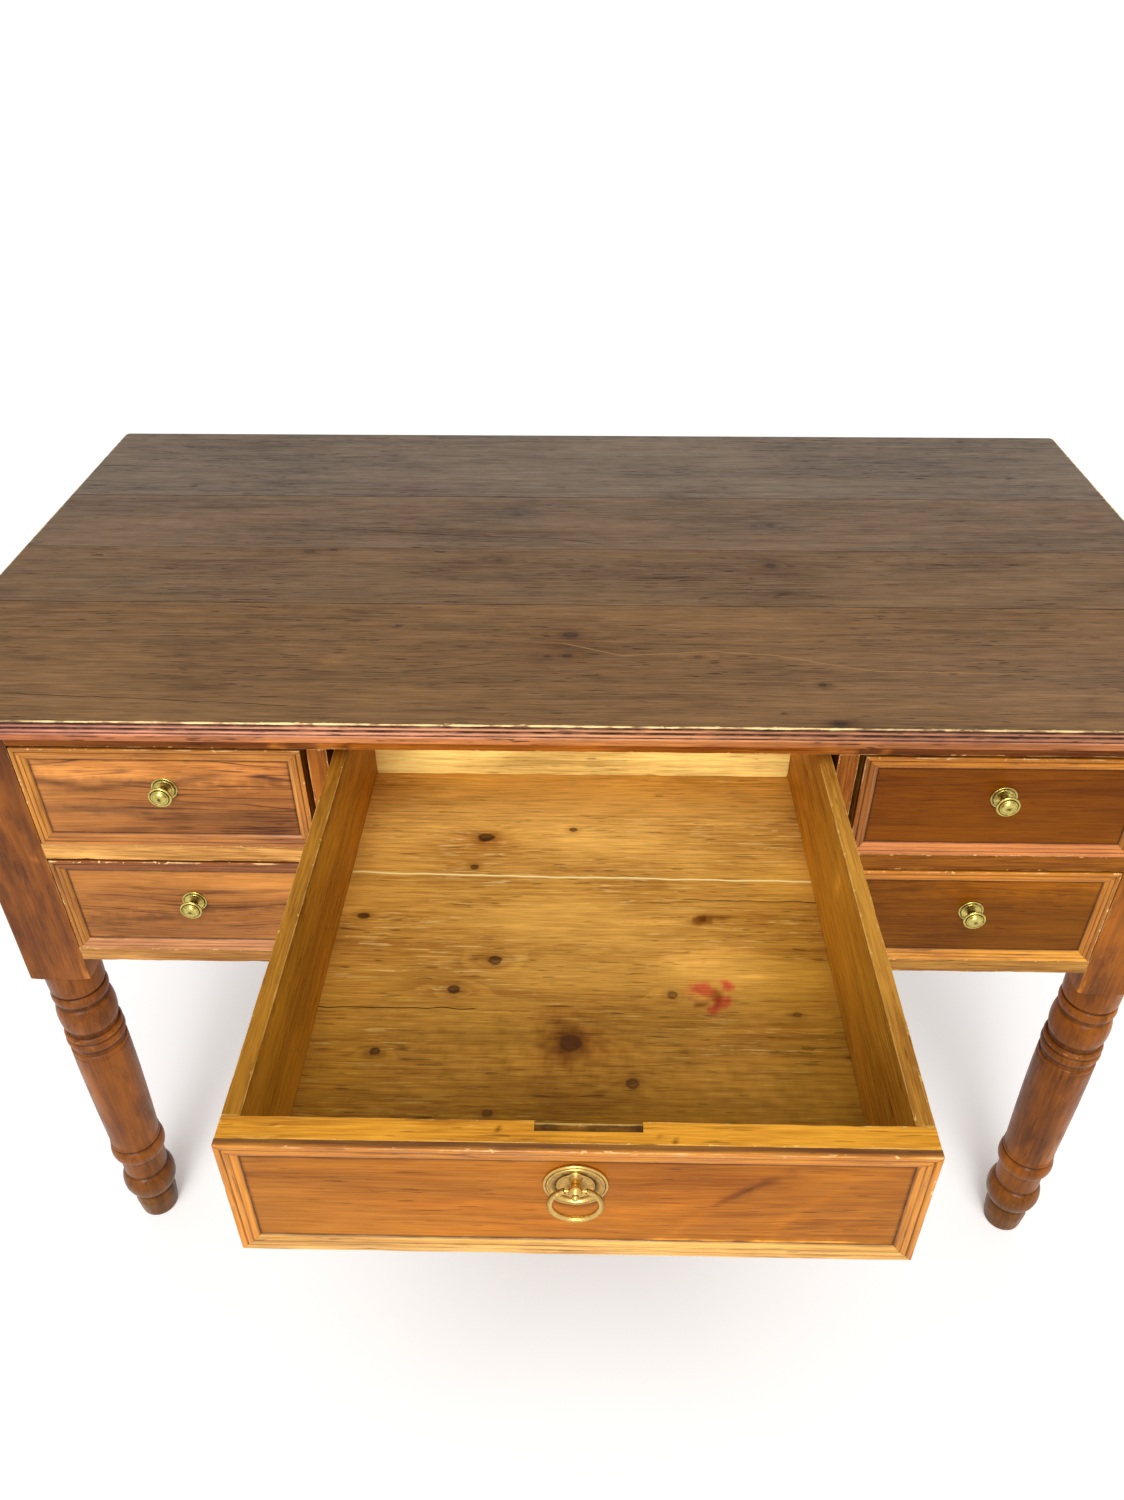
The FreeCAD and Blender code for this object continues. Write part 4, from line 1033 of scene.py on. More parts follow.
def top_board(name, node, seed, tone_and_reflection, front=False, back=False, **looks):
    """One board of the top with its reeded ends, and its reeded front edge if it is the front board. Its
    tone_and_reflection is a tint: the board's own tone, with a painted grey reflection on the back boards."""
    low, high = corners(node)
    xs = spaced(low[X], high[X], TOP_PITCH[0], CORNER_RADIUS)
    ys = spaced(low[Y], high[Y], TOP_PITCH[1], CORNER_RADIUS if front or back else 2.5 * MM)
    points, quads = box_skin(xs, ys, np.sort(high[Z] - TOP_DROPS * MM))
    drop = (high[Z] - points[:, Z]) / MM
    inset = reed_inset(drop) * MM
    inner, away = from_inner(points, low, high, front, back)
    # The back edge has no reeds. The diagonals of the corners part it from the ends.
    plain = back & (np.abs(away[:, 1]) > np.abs(away[:, 0])) & (points[:, Y] > high[Y] - 4 * CORNER_RADIUS)
    inset = np.where(plain, np.minimum(inset, 1.0 * MM * (drop < 1)), inset)
    to_edge = np.minimum(points[:, X] - low[X], high[X] - points[:, X])
    if front:
        to_edge = np.minimum(to_edge, points[:, Y] - low[Y])
    arris = np.hypot(to_edge, drop * MM * 0.9)
    points[:, :2] = drawn_in(inner, away, inset)
    # A glued edge is drawn in by a hair at the very top, unevenly.
    mean, stray, depth = JOINT_HAIR
    for edge, inward, is_joint in ((low[Y], 1, not front), (high[Y], -1, not back)):
        if is_joint:
            at_edge = np.abs(points[:, Y] - edge) < 0.1 * MM
            hair = (mean + stray * noise_of(points, 0.13, seed)) * MM * np.clip(1 - drop / depth, 0, 1)
            points[:, Y] += inward * at_edge * hair
    waves = sum(height * (noise_of(points, length, number) + 1) for height, length, number in TOP_WAVES)
    points[:, Z] -= (drop < 0.01) * np.maximum(waves, 0) * MM
    # The grooves between the reeds darken with dirt and with painted shade.
    recess = np.clip(inset / MM / 0.6, 0, 1) * (drop > 1) * (drop < LAST_REED)
    joint = np.minimum(np.abs(points[:, Y] - low[Y]) + front, np.abs(points[:, Y] - high[Y]) + back)
    recess = np.maximum(recess, JOINT_DIRT * (joint < 0.5 * MM))
    place = points[:, X] / MM
    reeded = ((drop > 0.8) & (to_edge < CORNER_RADIUS))[:, None]
    polish_and_highlight = np.column_stack([np.interp(place, REED_PLACES, values) for values in REED_POLISH_AND_HIGHLIGHTS])
    polish_and_highlight *= np.where((drop > LAST_REED)[:, None], BELOW_REEDS, 1.0)
    facts = wood_facts(points, "x", Z, seed, arris=arris, recess=recess, plane=(X, Y),
                       shade=np.where(reeded, polish_and_highlight, np.array(tone_and_reflection)),
                       wear=np.interp(place, WEAR_PLACES, WEAR_AND_HIGHLIGHT_SHARES), **looks)
    make_piece(name, (points, quads, facts), TOP_WOOD, "carcass", [node], sharp=50)


print("the polish of the reeds is given at x =", REED_PLACES, "mm")

# %% [markdown]
# ## Marks, knots and cracks of the top
#
# Marks are (x, y, half length, half width, colour, hardness) and knots are (x, y, half length, half
# width, darkness, bend in rings). Both are in mm from the desk's middle, as are the cracks, which are a
# line of places and a width.

# %% The top's marks
BLUE = (0.72, 0.78, 0.86)
PURPLE = (0.84, 0.72, 0.78)
SMOKE = (0.66, 0.62, 0.6)
INK = (0.4, 0.34, 0.32)
PALE = (1.5, 1.4, 1.2)
BACK_MARKS = [
    (-204, 153, 26, 20, PURPLE, 1.2), (-360, 166, 22, 6, SMOKE, 1.5), (314, 249, 9, 1.4, INK, 2),
    (474, 311, 3, 2, INK, 2), (503, 301, 2.5, 1.6, INK, 2), (501, 193, 2.5, 1.8, INK, 2),
    (-420, 290, 70, 20, SMOKE, 0.8), (330, 250, 120, 24, (0.86, 0.86, 0.9), 1),
]
SECOND_MARKS = [
    (-75, 85, 26, 17, BLUE, 1.2), (-419, 100, 24, 5, SMOKE, 1.4), (-197, 96, 15, 9, PURPLE, 1.2),
    (203, 62, 22, 11, BLUE, 1.3), (541, 30, 2.4, 1.8, INK, 2), (-360, 60, 60, 16, (0.86, 0.84, 0.8), 1),
    (-120, 38, 130, 7, (0.8, 0.72, 0.66), 1),
]
THIRD_MARKS = [
    (-92, -28, 28, 12, SMOKE, 1.2), (-464, -79, 34, 12, BLUE, 1.2), (-507, -7, 16, 6, SMOKE, 1.4),
    (74, -63, 24, 1.3, INK, 2), (29, -110, 18, 1.2, INK, 2), (306, -74, 9, 1.2, INK, 2),
    (-280, -8, 44, 16, (0.8, 0.74, 0.7), 1.2), (192, -40, 26, 20, SMOKE, 1.1), (196, -95, 16, 5, SMOKE, 1.3),
]
FRONT_MARKS = [
    (-337, -270, 24, 8, SMOKE, 1.4), (-489, -226, 16, 5, SMOKE, 1.6), (-115, -160, 32, 5, BLUE, 1.4),
    (-313, -146, 15, 5, SMOKE, 1.5), (-364, -217, 12, 4, SMOKE, 1.6), (-211, -137, 16, 5, SMOKE, 1.5),
    (-226, -226, 10, 6, PALE, 2), (23, -160, 8, 1.2, INK, 2), (431, -159, 4, 1.2, INK, 2),
    (433, -279, 4, 1.4, INK, 2), (473, -174, 3, 1.2, INK, 2), (375, -220, 4, 1.2, INK, 2),
    (161, -215, 2, 1.6, PALE, 3), (-14, -196, 34, 22, (0.78, 0.7, 0.66), 1.2), (214, -317, 14, 6, INK, 1.6),
    (120, -214, 15, 8, (1.25, 1.2, 1.1), 2), (420, -240, 170, 60, (1.08, 1.14, 1.4), 1.2),
]
SECOND_KNOTS = [(203, 62, 5, 4, 0.5, 1.6), (-75, 85, 4, 3, 0.35, 1.2)]
THIRD_KNOTS = [
    (-289, -9, 8, 5, 0.55, 2.2), (-265, -5, 5, 3, 1.0, 1.0), (-88, -27, 6, 4, 0.5, 1.6),
    (191, -35, 6, 5, 0.85, 2.2), (169, -63, 3, 2, 0.8, 0.4), (196, -95, 4, 2.4, 0.8, 0.6),
    (-320, -13, 3, 2, 0.6, 0.3),
]
FRONT_KNOTS = [
    (-12, -177, 8, 5, 0.85, 2.6), (-14, -214, 6, 3.6, 0.85, 0.8), (-32, -215, 4, 2.6, 0.8, 0.5),
    (104, -214, 5, 3.6, 0.45, 1.4), (209, -258, 4, 3.6, 0.9, 1.0), (170, -303, 3, 2.4, 0.7, 0.4),
    (214, -317, 6, 3, 0.8, 0),
]
MAIN_CRACK = ([(-275, 46), (-212, 40), (-133, 31), (-27, 25), (-2, 18), (20, 12)], 0.75)
CURVED_CRACK = ([(-498, -112), (-459, -62), (-394, -33), (-299, -25), (-264, -13)], 0.4)
FRONT_CRACK = ([(-502, -283), (-366, -290), (-277, -296), (-250, -299)], 0.6)
SHORT_CRACK = ([(-162, -242), (-108, -234), (-63, -222)], 0.45)
PALE_ARCH = ([(-19, -191), (37, -213), (121, -204), (176, -211), (254, -235), (388, -237)], 0.7)
# The fourth value is each board's tint: its own tone, and on the back boards a painted grey reflection.
top_board("back_plank", "top_back_board", 71, (0.8, 1.03, 1.45), back=True, marks=BACK_MARKS)
top_board("second_plank", "top_second_board", 72, (0.8, 0.9, 1.1), marks=SECOND_MARKS, knots=SECOND_KNOTS,
          lines=[MAIN_CRACK])
top_board("third_plank", "top_third_board", 73, (0.84, 0.86, 0.86), marks=THIRD_MARKS, knots=THIRD_KNOTS,
          lines=[CURVED_CRACK])
top_board("front_plank", "top_front_board", 74, (0.94, 0.88, 0.72), front=True, marks=FRONT_MARKS,
          knots=FRONT_KNOTS, lines=[FRONT_CRACK, SHORT_CRACK, PALE_ARCH])
print("the top has", len(SECOND_KNOTS + THIRD_KNOTS + FRONT_KNOTS), "knots")

# %% [markdown]
# ## Mitred mouldings
#
# A thin figured panel on each drawer is framed by four strips of moulding. A strip is one section
# carried along one side of a rectangle, and at each corner it stops on the diagonal: the further a
# point of the section lies in from the outer edge, the sooner the strip ends. Carrying one section
# round the whole rectangle would lose the mitre joints, and the grain would not turn at the corners.

# %% Moulding strips
# The section, from the outer edge inwards: (distance in, height over the core) in mm.
MOULDING_SECTION = [
    (0.0, 0.0), (0.0, 2.6), (0.0, 5.0), (0.12, 5.4), (0.4, 5.75), (0.8, 5.9), (2.0, 5.9), (3.3, 5.86),
    (3.6, 5.6), (3.8, 5.1), (4.1, 4.75), (4.5, 4.7), (4.8, 4.9), (5.0, 5.3), (5.4, 5.62), (6.1, 5.84),
    (6.9, 5.9), (7.6, 5.78), (8.2, 5.5), (8.5, 5.1), (8.7, 4.85), (9.4, 4.75), (10.6, 4.35), (11.8, 3.7),
    (12.7, 3.05), (13.2, 2.75), (13.4, 2.4), (13.4, 0.0),
]
MITRE_HAIR = 0.12 * MM
OUTER_DARK = 0.42
OUTER_DARK_RISE = 3 * MM


def joined(*shapes):
    """Several (points, faces, facts) as one."""
    count, faces = 0, []
    for points, quads, _ in shapes:
        faces.append(quads + count)
        count += len(points)
    facts = {key: np.concatenate([np.asarray(s[2][key]).reshape(len(s[0]), -1) for s in shapes])
             for key in shapes[0][2]}
    return np.concatenate([s[0] for s in shapes]), np.concatenate(faces), facts


def strip(side, low, high, core_face, seed, **looks):
    """One mitred strip along the low, high, left or right side of the rectangle from low to high (x, z)."""
    section = np.array(MOULDING_SECTION) * MM
    thick = section[:, 1].max()
    level = side in ("low", "high")
    run = high[0] - low[0] if level else high[1] - low[1]
    share = spaced(0.0, 1.0, 3.5 * MM / run, 6 * MM / run)
    start = section[None, :, 0] + MITRE_HAIR
    along = start + share[:, None] * (run - 2 * start)
    rows, columns = along.shape
    inset = np.repeat(section[None, :, 0], rows, axis=0)
    rise = np.repeat(section[None, :, 1], rows, axis=0)
    flat = np.column_stack([along.ravel(), inset.ravel(), inset.ravel() * 0])
    wear = noise_of(flat, 0.05, seed).reshape(rows, columns)
    rise = rise * (1 - 0.03 * (wear + 1) * (rise > 0.9 * thick))
    # Close the ends with a last row where the section has shrunk onto its own base line.
    along = np.concatenate([along[:1], along, along[-1:]])
    inset = np.concatenate([inset[:1], inset, inset[-1:]])
    rise = np.concatenate([rise[:1] * 0, rise, rise[-1:] * 0])
    places = {"low": (low[0] + along, low[1] + inset), "high": (low[0] + along, high[1] - inset),
              "left": (low[0] + inset, low[1] + along), "right": (high[0] - inset, low[1] + along)}
    across, up = places[side]
    points = np.stack([across, core_face - rise, up], -1).reshape(-1, 3)
    first = np.arange(rows + 1) * columns
    base = np.column_stack([first, first + columns - 1, first + 2 * columns - 1, first + columns])
    quads = np.concatenate([grid_quads(rows + 2, columns), base])
    quads = quads if side in ("low", "right") else quads[:, ::-1]
    arris = np.hypot(np.minimum(inset, 0.02), thick - rise).ravel()
    # Dirt and painted shade lie in the groove between the two beads, at the foot of the second and
    # beside the panel.
    in_mm = inset / MM
    groove = np.clip((thick - rise) / MM - 0.7, 0, 0.7) / 0.7 * (in_mm > 3) * (in_mm < 5.2)
    groove = groove + np.clip((in_mm - 12.2) / 1.0, 0, 1) + 0.5 * ((in_mm > 8.3) & (in_mm < 9.2))
    facts = wood_facts(points, "x" if level else "z", Y, seed, arris=arris, recess=groove.ravel(),
                       plane=(X, Z), **looks)
    outer = (inset.ravel() < 0.01 * MM) & (rise.ravel() < OUTER_DARK_RISE)
    facts["tint"][:, :3] *= np.where(outer, OUTER_DARK, 1.0)[:, None]
    return points, quads, facts


section_in, section_rise = zip(*MOULDING_SECTION)
print("the moulding is", max(section_in), "mm wide and", max(section_rise), "mm high")

# %% [markdown]
# ## Drawers
#
# Each drawer is built of the pieces it was made of: a front, two sides whose dovetails reach into the
# front's ends, a back, a bottom board below them, and the framed panel on its face. The centre drawer has
# lost its lock, and the shallow bed of the lock's plate is still cut in the top edge of its front. Extra
# rows of the grid on both sides of the bed's walls keep them sharp.

# %% Sides and fronts of the drawers
TAIL_LENGTH = 10 * MM
TAILS = 3
TAIL_PROUD = 0.06 * MM
TAIL_ROOT_SHARE, TAIL_SPREAD_SHARE = 0.52, 0.22
LOCK_FROM, LOCK_TO, LOCK_HEIGHT, LOCK_DEPTH = -25 * MM, 40 * MM, 2.6 * MM, 7.5 * MM
LOCK_ARRIS = 0.6 * MM
HAIR = 0.03 * MM


def side_with_tails(low, high, core_back, sign, seed, **looks):
    """A drawer side: a board behind the front, and three dovetails that reach into the front's end."""
    shapes = [plain_board(np.array([low[X], core_back, low[Z]]), high, "y", X, seed, plane=(Y, Z), **looks)]
    pitch = (high[Z] - low[Z]) / TAILS
    for number in range(TAILS):
        middle = low[Z] + (number + 0.5) * pitch
        tail_low = np.array([low[X], core_back - TAIL_LENGTH, middle - pitch / 2])
        tail_high = np.array([high[X], core_back + 0.5 * MM, middle + pitch / 2])
        tail_low[X] -= TAIL_PROUD * (sign < 0)
        tail_high[X] += TAIL_PROUD * (sign > 0)
        points, quads, arris = board_surface(tail_low, tail_high, radius=0.15 * MM, seed=seed, bruises=0)
        share = np.clip((core_back - points[:, Y]) / TAIL_LENGTH, 0, 1)
        points[:, Z] = middle + (points[:, Z] - middle) * (TAIL_ROOT_SHARE + TAIL_SPREAD_SHARE * share)
        shapes.append((points, quads, wood_facts(points, "y", X, seed, recess=(arris < 0.3 * MM) * 0.8)))
    return joined(*shapes)


def front_core(low, high, seed, lock=False, **looks):
    """The solid front behind the panel. Where a lock was, the top edge is pressed down inside its bed."""
    ends = [place + step for place in (LOCK_FROM, LOCK_TO) for step in (-HAIR, HAIR)]
    wall = [high[Y] - LOCK_DEPTH - HAIR, high[Y] - LOCK_DEPTH + HAIR]
    cuts = {X: ends, Y: wall, Z: [high[Z] - LOCK_HEIGHT]} if lock else None
    points, quads, arris = board_surface(low, high, 0.7 * MM, seed=seed, bruises=14,
                                         pitches=(3 * MM, 3 * MM, 8 * MM), cuts=cuts)
    recess = np.zeros(len(points))
    if lock:
        bed = (points[:, X] > LOCK_FROM) & (points[:, X] < LOCK_TO) & (points[:, Y] > high[Y] - LOCK_DEPTH)
        pressed = bed & (points[:, Z] > high[Z] - LOCK_HEIGHT)
        points[:, Z] = np.where(pressed, high[Z] - LOCK_HEIGHT, points[:, Z])
        recess = 1.0 * pressed
        arris = np.where(pressed, np.maximum(high[Y] - points[:, Y] - LOCK_ARRIS, 0), arris)
    facts = wood_facts(points, "x", Z, seed, arris=arris, recess=recess, plane=(X, Y), **looks)
    return points, quads, facts


print("each corner has", TAILS, "dovetails", round(TAIL_LENGTH / MM), "mm long")


# %% [markdown]
# ## Dressing a drawer
#
# The parts of the centre drawer are nodes of their own, and a small drawer has its panel and mouldings
# in one node and both sides in another. One function dresses both kinds. Each piece has its own looks,
# a dictionary of marks, tints and wear, and its own seed, so that no two pieces show the same wood.

# %% One drawer
PANEL_THICK = 2.7 * MM
SIDE_THICK = 12 * MM
PANEL_LAP = 0.1
PANEL_DIRT_AND_SHADE = 2.0 * MM


def panel_shape(low, high, seed, looks):
    """The thin panel between the mouldings, with dirt along its edges."""
    inset = (MOULDING_SECTION[-1][0] - PANEL_LAP) * MM
    pane_low = np.array([low[X] + inset, low[Y] - PANEL_THICK, low[Z] + inset])
    pane_high = np.array([high[X] - inset, low[Y], high[Z] - inset])
    points, quads, facts = plain_board(pane_low, pane_high, "x", Y, seed, radius=0.2 * MM, pitch=3.2 * MM,
                                       bruises=0, plane=(X, Z), **looks)
    to_frame = np.minimum(points - pane_low, pane_high - points)[:, [X, Z]].min(axis=1)
    # The thin panel between the mouldings, with dirt and painted shade along its edges.
    facts["recess"] = np.clip(1 - to_frame / PANEL_DIRT_AND_SHADE, 0, 1)
    facts["arris"] = np.full(len(points), 0.02)
    return points, quads, facts


def dress_drawer(name, seed, pane=None, strips=None, core=None, cheeks=({}, {}), tail=None, floor=None):
    """Dress one drawer: panel, mouldings, front core, sides, back and bottom, each with its own looks."""
    low, high = corners(f"{name}_front")
    body = NODES[f"{name}_front"]["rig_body"]
    wide = name == "centre_drawer"
    strips = strips or {}
    mitred = [strip(side, low[[X, Z]], high[[X, Z]], low[Y], seed + n, **strips.get(side, {}))
              for n, side in enumerate(("low", "left", "high", "right"))]
    make_piece(f"{name}_strips", joined(*mitred), MOULDING_WOOD, body,
               [f"{name}_mouldings" if wide else f"{name}_facing"])
    make_piece(f"{name}_pane", panel_shape(low, high, seed + 9, pane or {}), PANEL_WOOD, body,
               [f"{name}_panel" if wide else f"{name}_facing"])
    make_piece(f"{name}_core", front_core(low, high, seed + 20, wide, **(core or {})), PINE, body,
               [f"{name}_front"])
    shapes = []
    for number, (side, sign) in enumerate(SIDES):
        side_low, side_high = corners(f"{name}_{side}_side" if wide else f"{name}_sides")
        outer, inner = (low[X], low[X] + SIDE_THICK) if sign < 0 else (high[X], high[X] - SIDE_THICK)
        side_low[X], side_high[X] = min(outer, inner), max(outer, inner)
        shapes.append(side_with_tails(side_low, side_high, high[Y], sign, seed + 30 + number, pitch=7 * MM,
                                      radius=1.1 * MM, bruises=24, **cheeks[number]))
        if wide:
            make_piece(f"{name}_{side}_cheek", shapes[-1], PINE, body, [f"{name}_{side}_side"])
    if not wide:
        make_piece(f"{name}_cheeks", joined(*shapes), PINE, body, [f"{name}_sides"])
    board(f"{name}_tail_board", f"{name}_back", *corners(f"{name}_back"), "x", Y, PINE, "pine", seed + 40,
          **(tail or {}))
    looks = {"pitches": (12 * MM, 12 * MM, 4 * MM), "radius": 0.6 * MM} | (floor or {})
    board(f"{name}_floor", f"{name}_bottom", *corners(f"{name}_bottom"), "x", Z, PINE, "pine", seed + 50,
          **looks)


print("a panel is", round(PANEL_THICK / MM, 1), "mm thick, and a side", round(SIDE_THICK / MM), "mm")

# %% [markdown]
# ## The open drawer
#
# Its bottom is the most telling piece of wood in the picture: golden pine with knots of every age, a
# long open joint mended with yellow glue, a pink stain, dark corners and bare scuffs. The shadow of the
# drawer's front across the front of the bottom, and light on its back part, are painted. Places are
# written as they were read: across the desk, and how far behind the drawer's face.

# %% Marks of the open drawer's bottom
MOULDING_RISE = 5.9
FACE = corners("centre_drawer_front")[0][Y] / MM - MOULDING_RISE


def behind(marks):
    """Marks or knots whose second number counts from the drawer's face instead of the desk's middle."""
    return [(x, FACE + back, *rest) for x, back, *rest in marks]


PINK = (0.98, 0.38, 0.7)
DEEP = (0.5, 0.38, 0.25)
SCUFF = (1.3, 1.3, 1.4)
STAIN = [
    (98, 218, 10, 8, PINK, 4), (112, 206, 7, 6, PINK, 4), (104, 197, 5, 4, PINK, 4),
    (118, 222, 4, 5, PINK, 4), (96, 203, 7, 3, DEEP, 3, 20), (109, 211, 4, 7, DEEP, 3),
]
DARK_SPOTS = [
    (-6, 164, 26, 20, (0.66, 0.52, 0.36), 1.3), (-87, 396, 24, 14, (0.72, 0.58, 0.42), 1.3),
    (100, 293, 6, 6, DEEP, 4, 35), (106, 297, 9, 4, DEEP, 4), (118, 298.5, 10, 2.2, DEEP, 4),
    (75, 463, 4, 1, DEEP, 2), (-6, 160, 12, 16, (0.6, 0.5, 0.4), 2),
]
SCUFFS = [
    (90, 250, 22, 10, SCUFF, 2), (128, 262, 16, 3, SCUFF, 2), (62, 291, 20, 2, SCUFF, 2),
    (140, 232, 12, 2.4, SCUFF, 2), (170, 180, 24, 2, SCUFF, 2), (120, 176, 30, 1.6, SCUFF, 2),
]
PALE_FILLETS = [(-206.5, 300, 2.4, 190, (1.5, 1.9, 3.2), 4), (206.5, 330, 2, 150, (1.4, 1.7, 2.8), 4)]
# Mark one: painted shadow of the drawer front on the bottom; mark four: painted light at the back; the rest:
# tones.
SHADOW_LIGHT_AND_TONES = [
    (0, 40, 260, 100, (0.38, 0.33, 0.07), 2.2), (186, 170, 44, 170, (0.72, 0.72, 0.5), 1.6),
    (-176, 120, 30, 60, (0.85, 0.85, 0.6), 1.2), (0, 440, 260, 70, (1.4, 1.7, 2.6), 1.6),
    (-20, 280, 140, 60, (1.08, 1.15, 1.4), 1.4), (60, 180, 60, 14, (0.8, 0.8, 0.72), 1.2),
    (-60, 170, 50, 12, (0.72, 0.72, 0.6), 1.2), (120, 240, 50, 22, (1.15, 1.2, 1.3), 1.4),
    (-110, 330, 70, 14, (0.86, 0.84, 0.8), 1.2),
]
FLOOR_KNOTS = behind([
    (-87.5, 399, 9, 7, 1.0, 3.0), (-94.5, 358, 5, 4, 0.9, 1.5), (-7, 411, 5, 3.4, 0.9, 1.5),
    (-184, 295, 6, 4, 0.8, 1.5), (-68.5, 246, 7, 6, 0.9, 2.4), (-99, 215, 6, 5, 0.85, 2.0),
    (-152, 153, 5, 4.4, 0.9, 2.0), (-6, 164, 9, 9, 0.6, 3.0), (40, 127, 6, 6, 0.75, 2.2),
    (74, 212, 5, 4.4, 0.7, 1.6), (-64, 100, 5, 4, 0.7, 1.2), (169, 194, 5, 3, 0.6, 1.0),
    (201, 154, 2.6, 2, 1.0, 0),
])
FLOOR_CRACKS = [
    ([(-207, FACE + 196), (-80, FACE + 195)], 0.6), ([(88, FACE + 320), (207, FACE + 318)], 0.5),
    ([(-207, FACE + 349.5), (-90, FACE + 347.5), (30, FACE + 346), (207, FACE + 343.4)], 1.5),
]
WIDE_FLOOR = {
    "pitches": (2.4 * MM, 2.4 * MM, 4 * MM), "knots": FLOOR_KNOTS, "lines": FLOOR_CRACKS, "rubbed": 0.5,
    "shade": (1.12, 1.16, 1.25), "marks": behind(STAIN + DARK_SPOTS + SCUFFS + PALE_FILLETS + SHADOW_LIGHT_AND_TONES),
}
print("the bottom has", len(FLOOR_KNOTS), "knots and", len(WIDE_FLOOR["marks"]), "marks")

# %% [markdown]
# ## The open drawer's other pieces
#
# The last of the bottom's three cracks is the joint with its yellow glue, because a finish may show
# its third line pale. The other pieces have few marks: nail holes in the front's top edge, knots in the
# back, pale flakes along the lower moulding and a slanting scar on the panel. A side's top edge is
# darker than its faces.

# %% The centre drawer
NAIL = (0.3, 0.25, 0.2)
FLAKE = (2.6, 3.2, 4.5)
SCAR = (0.6, 0.52, 0.5)
GLEAM = (1.16, 1.16, 1.12)
SIDE_TOP = corners("centre_drawer_left_side")[1][Z] / MM
LEFT_CHEEK_MARKS = [(-500, SIDE_TOP, 400, 3, (0.6, 0.52, 0.6), 4)]
RIGHT_CHEEK_MARKS = [(-500, SIDE_TOP, 400, 3, (0.72, 0.66, 0.95), 4),
                     (-430, 705, 5, 9, (1.5, 1.6, 2.0), 2, 20)]
TAIL_MARKS = [(-50, 700, 14, 9, (0.8, 0.66, 0.6), 1.5), (60, 712, 18, 7, (0.82, 0.7, 0.62), 1.5),
              (150, 704, 12, 8, (0.8, 0.68, 0.6), 1.5), (-140, 694, 24, 5, (0.86, 0.78, 0.7), 1.4)]
CORE_MARKS = behind([(-47, 15, 1.4, 1.1, NAIL, 3), (-18, 10, 1.2, 1, NAIL, 3), (8, 10, 1.2, 1, NAIL, 3),
                     (50, 11, 1.3, 1, NAIL, 3), (59, 8, 1.2, 1, NAIL, 3)])
PANE_MARKS = [
    (90, 712, 70, 16, (0.85, 0.8, 0.75), 1.2), (-60, 678, 60, 6, (1.3, 1.25, 1.1), 1.3),
    (98, 694, 24, 2.4, SCAR, 1.5, 42), (108, 702, 14, 2, SCAR, 1.5, 35),
    (76, 672, 24, 3, (1.2, 1.2, 1.15), 1.5, 55), (132, 668, 26, 4, GLEAM, 1.5, 60),
    (150, 690, 22, 3, GLEAM, 1.5, 50), (172, 672, 24, 5, (1.12, 1.12, 1.12), 1.5, 60),
    (56, 643.4, 12, 0.9, FLAKE, 2), (88, 643.4, 10, 0.8, FLAKE, 2), (120, 643.2, 14, 0.8, FLAKE, 2),
    (160, 643.6, 24, 1.1, FLAKE, 2), (-40, 655, 60, 5, (1.2, 1.15, 1.0), 1.4, 12),
    (60, 690, 18, 8, (1.25, 1.2, 1.1), 1.4), (186, 684, 30, 26, (1.0, 1.05, 1.2), 1.2),
    (110, 680, 120, 60, (1.0, 0.95, 0.75), 1.3), (-200, 690, 30, 40, (0.9, 0.92, 1.1), 1.3),
]


def strip_tint_and_sheen(shade, wear=1.0):
    """The looks of a strip: its tint, and how far its arrises are worn. On some strips both also paint
    highlights and shade.
    """
    return {"shade": shade, "wear": wear}


CENTRE_STRIPS = {"high": strip_tint_and_sheen((1.15, 1.1, 0.9), 0.9), "low": strip_tint_and_sheen((1.5, 2.05, 3.4), 1.4),
                 "left": strip_tint_and_sheen((1.25, 1.2, 0.9), 0.8), "right": strip_tint_and_sheen((1.1, 1.05, 0.8), 1.6)}
# The back board's tail shade lies far above 1: painted light, its inner face glowing as if lit from the
# front.
dress_drawer(
    "centre_drawer", 100, strips=CENTRE_STRIPS, floor=WIDE_FLOOR,
    pane={"marks": PANE_MARKS, "figured": 0.3, "shade": (0.95, 0.94, 0.82)},
    core={"marks": CORE_MARKS, "rubbed": 0.3, "shade": (1.3, 1.2, 0.7)},
    cheeks=({"shade": (1.05, 1.08, 0.55), "rubbed": 0.3, "marks": LEFT_CHEEK_MARKS},
            {"shade": (1.15, 1.2, 0.75), "rubbed": 0.4, "marks": RIGHT_CHEEK_MARKS}),
    tail={"shade": (1.8, 2.9, 6.5), "pitch": 8 * MM, "marks": TAIL_MARKS})
print("the open drawer's face is", round(-FACE), "mm in front of the desk's middle")

# %% [markdown]
# ## Four small drawers
#
# Light and age have not been fair to the two banks: the left one is pale and violet with a warm upper
# half, the right one deep brown. Each panel and each strip gets its own tint, and dark streaks where the
# figure of the walnut runs. Some strips' tints and wear also paint highlights and shade on them.

# %% The banks
WARM = (2.1, 2.3, 2.2)
DUSK = (0.5, 0.5, 0.62)
STREAK = (0.7, 0.72, 0.85)
BROWN_STREAK = (0.7, 0.68, 0.8)
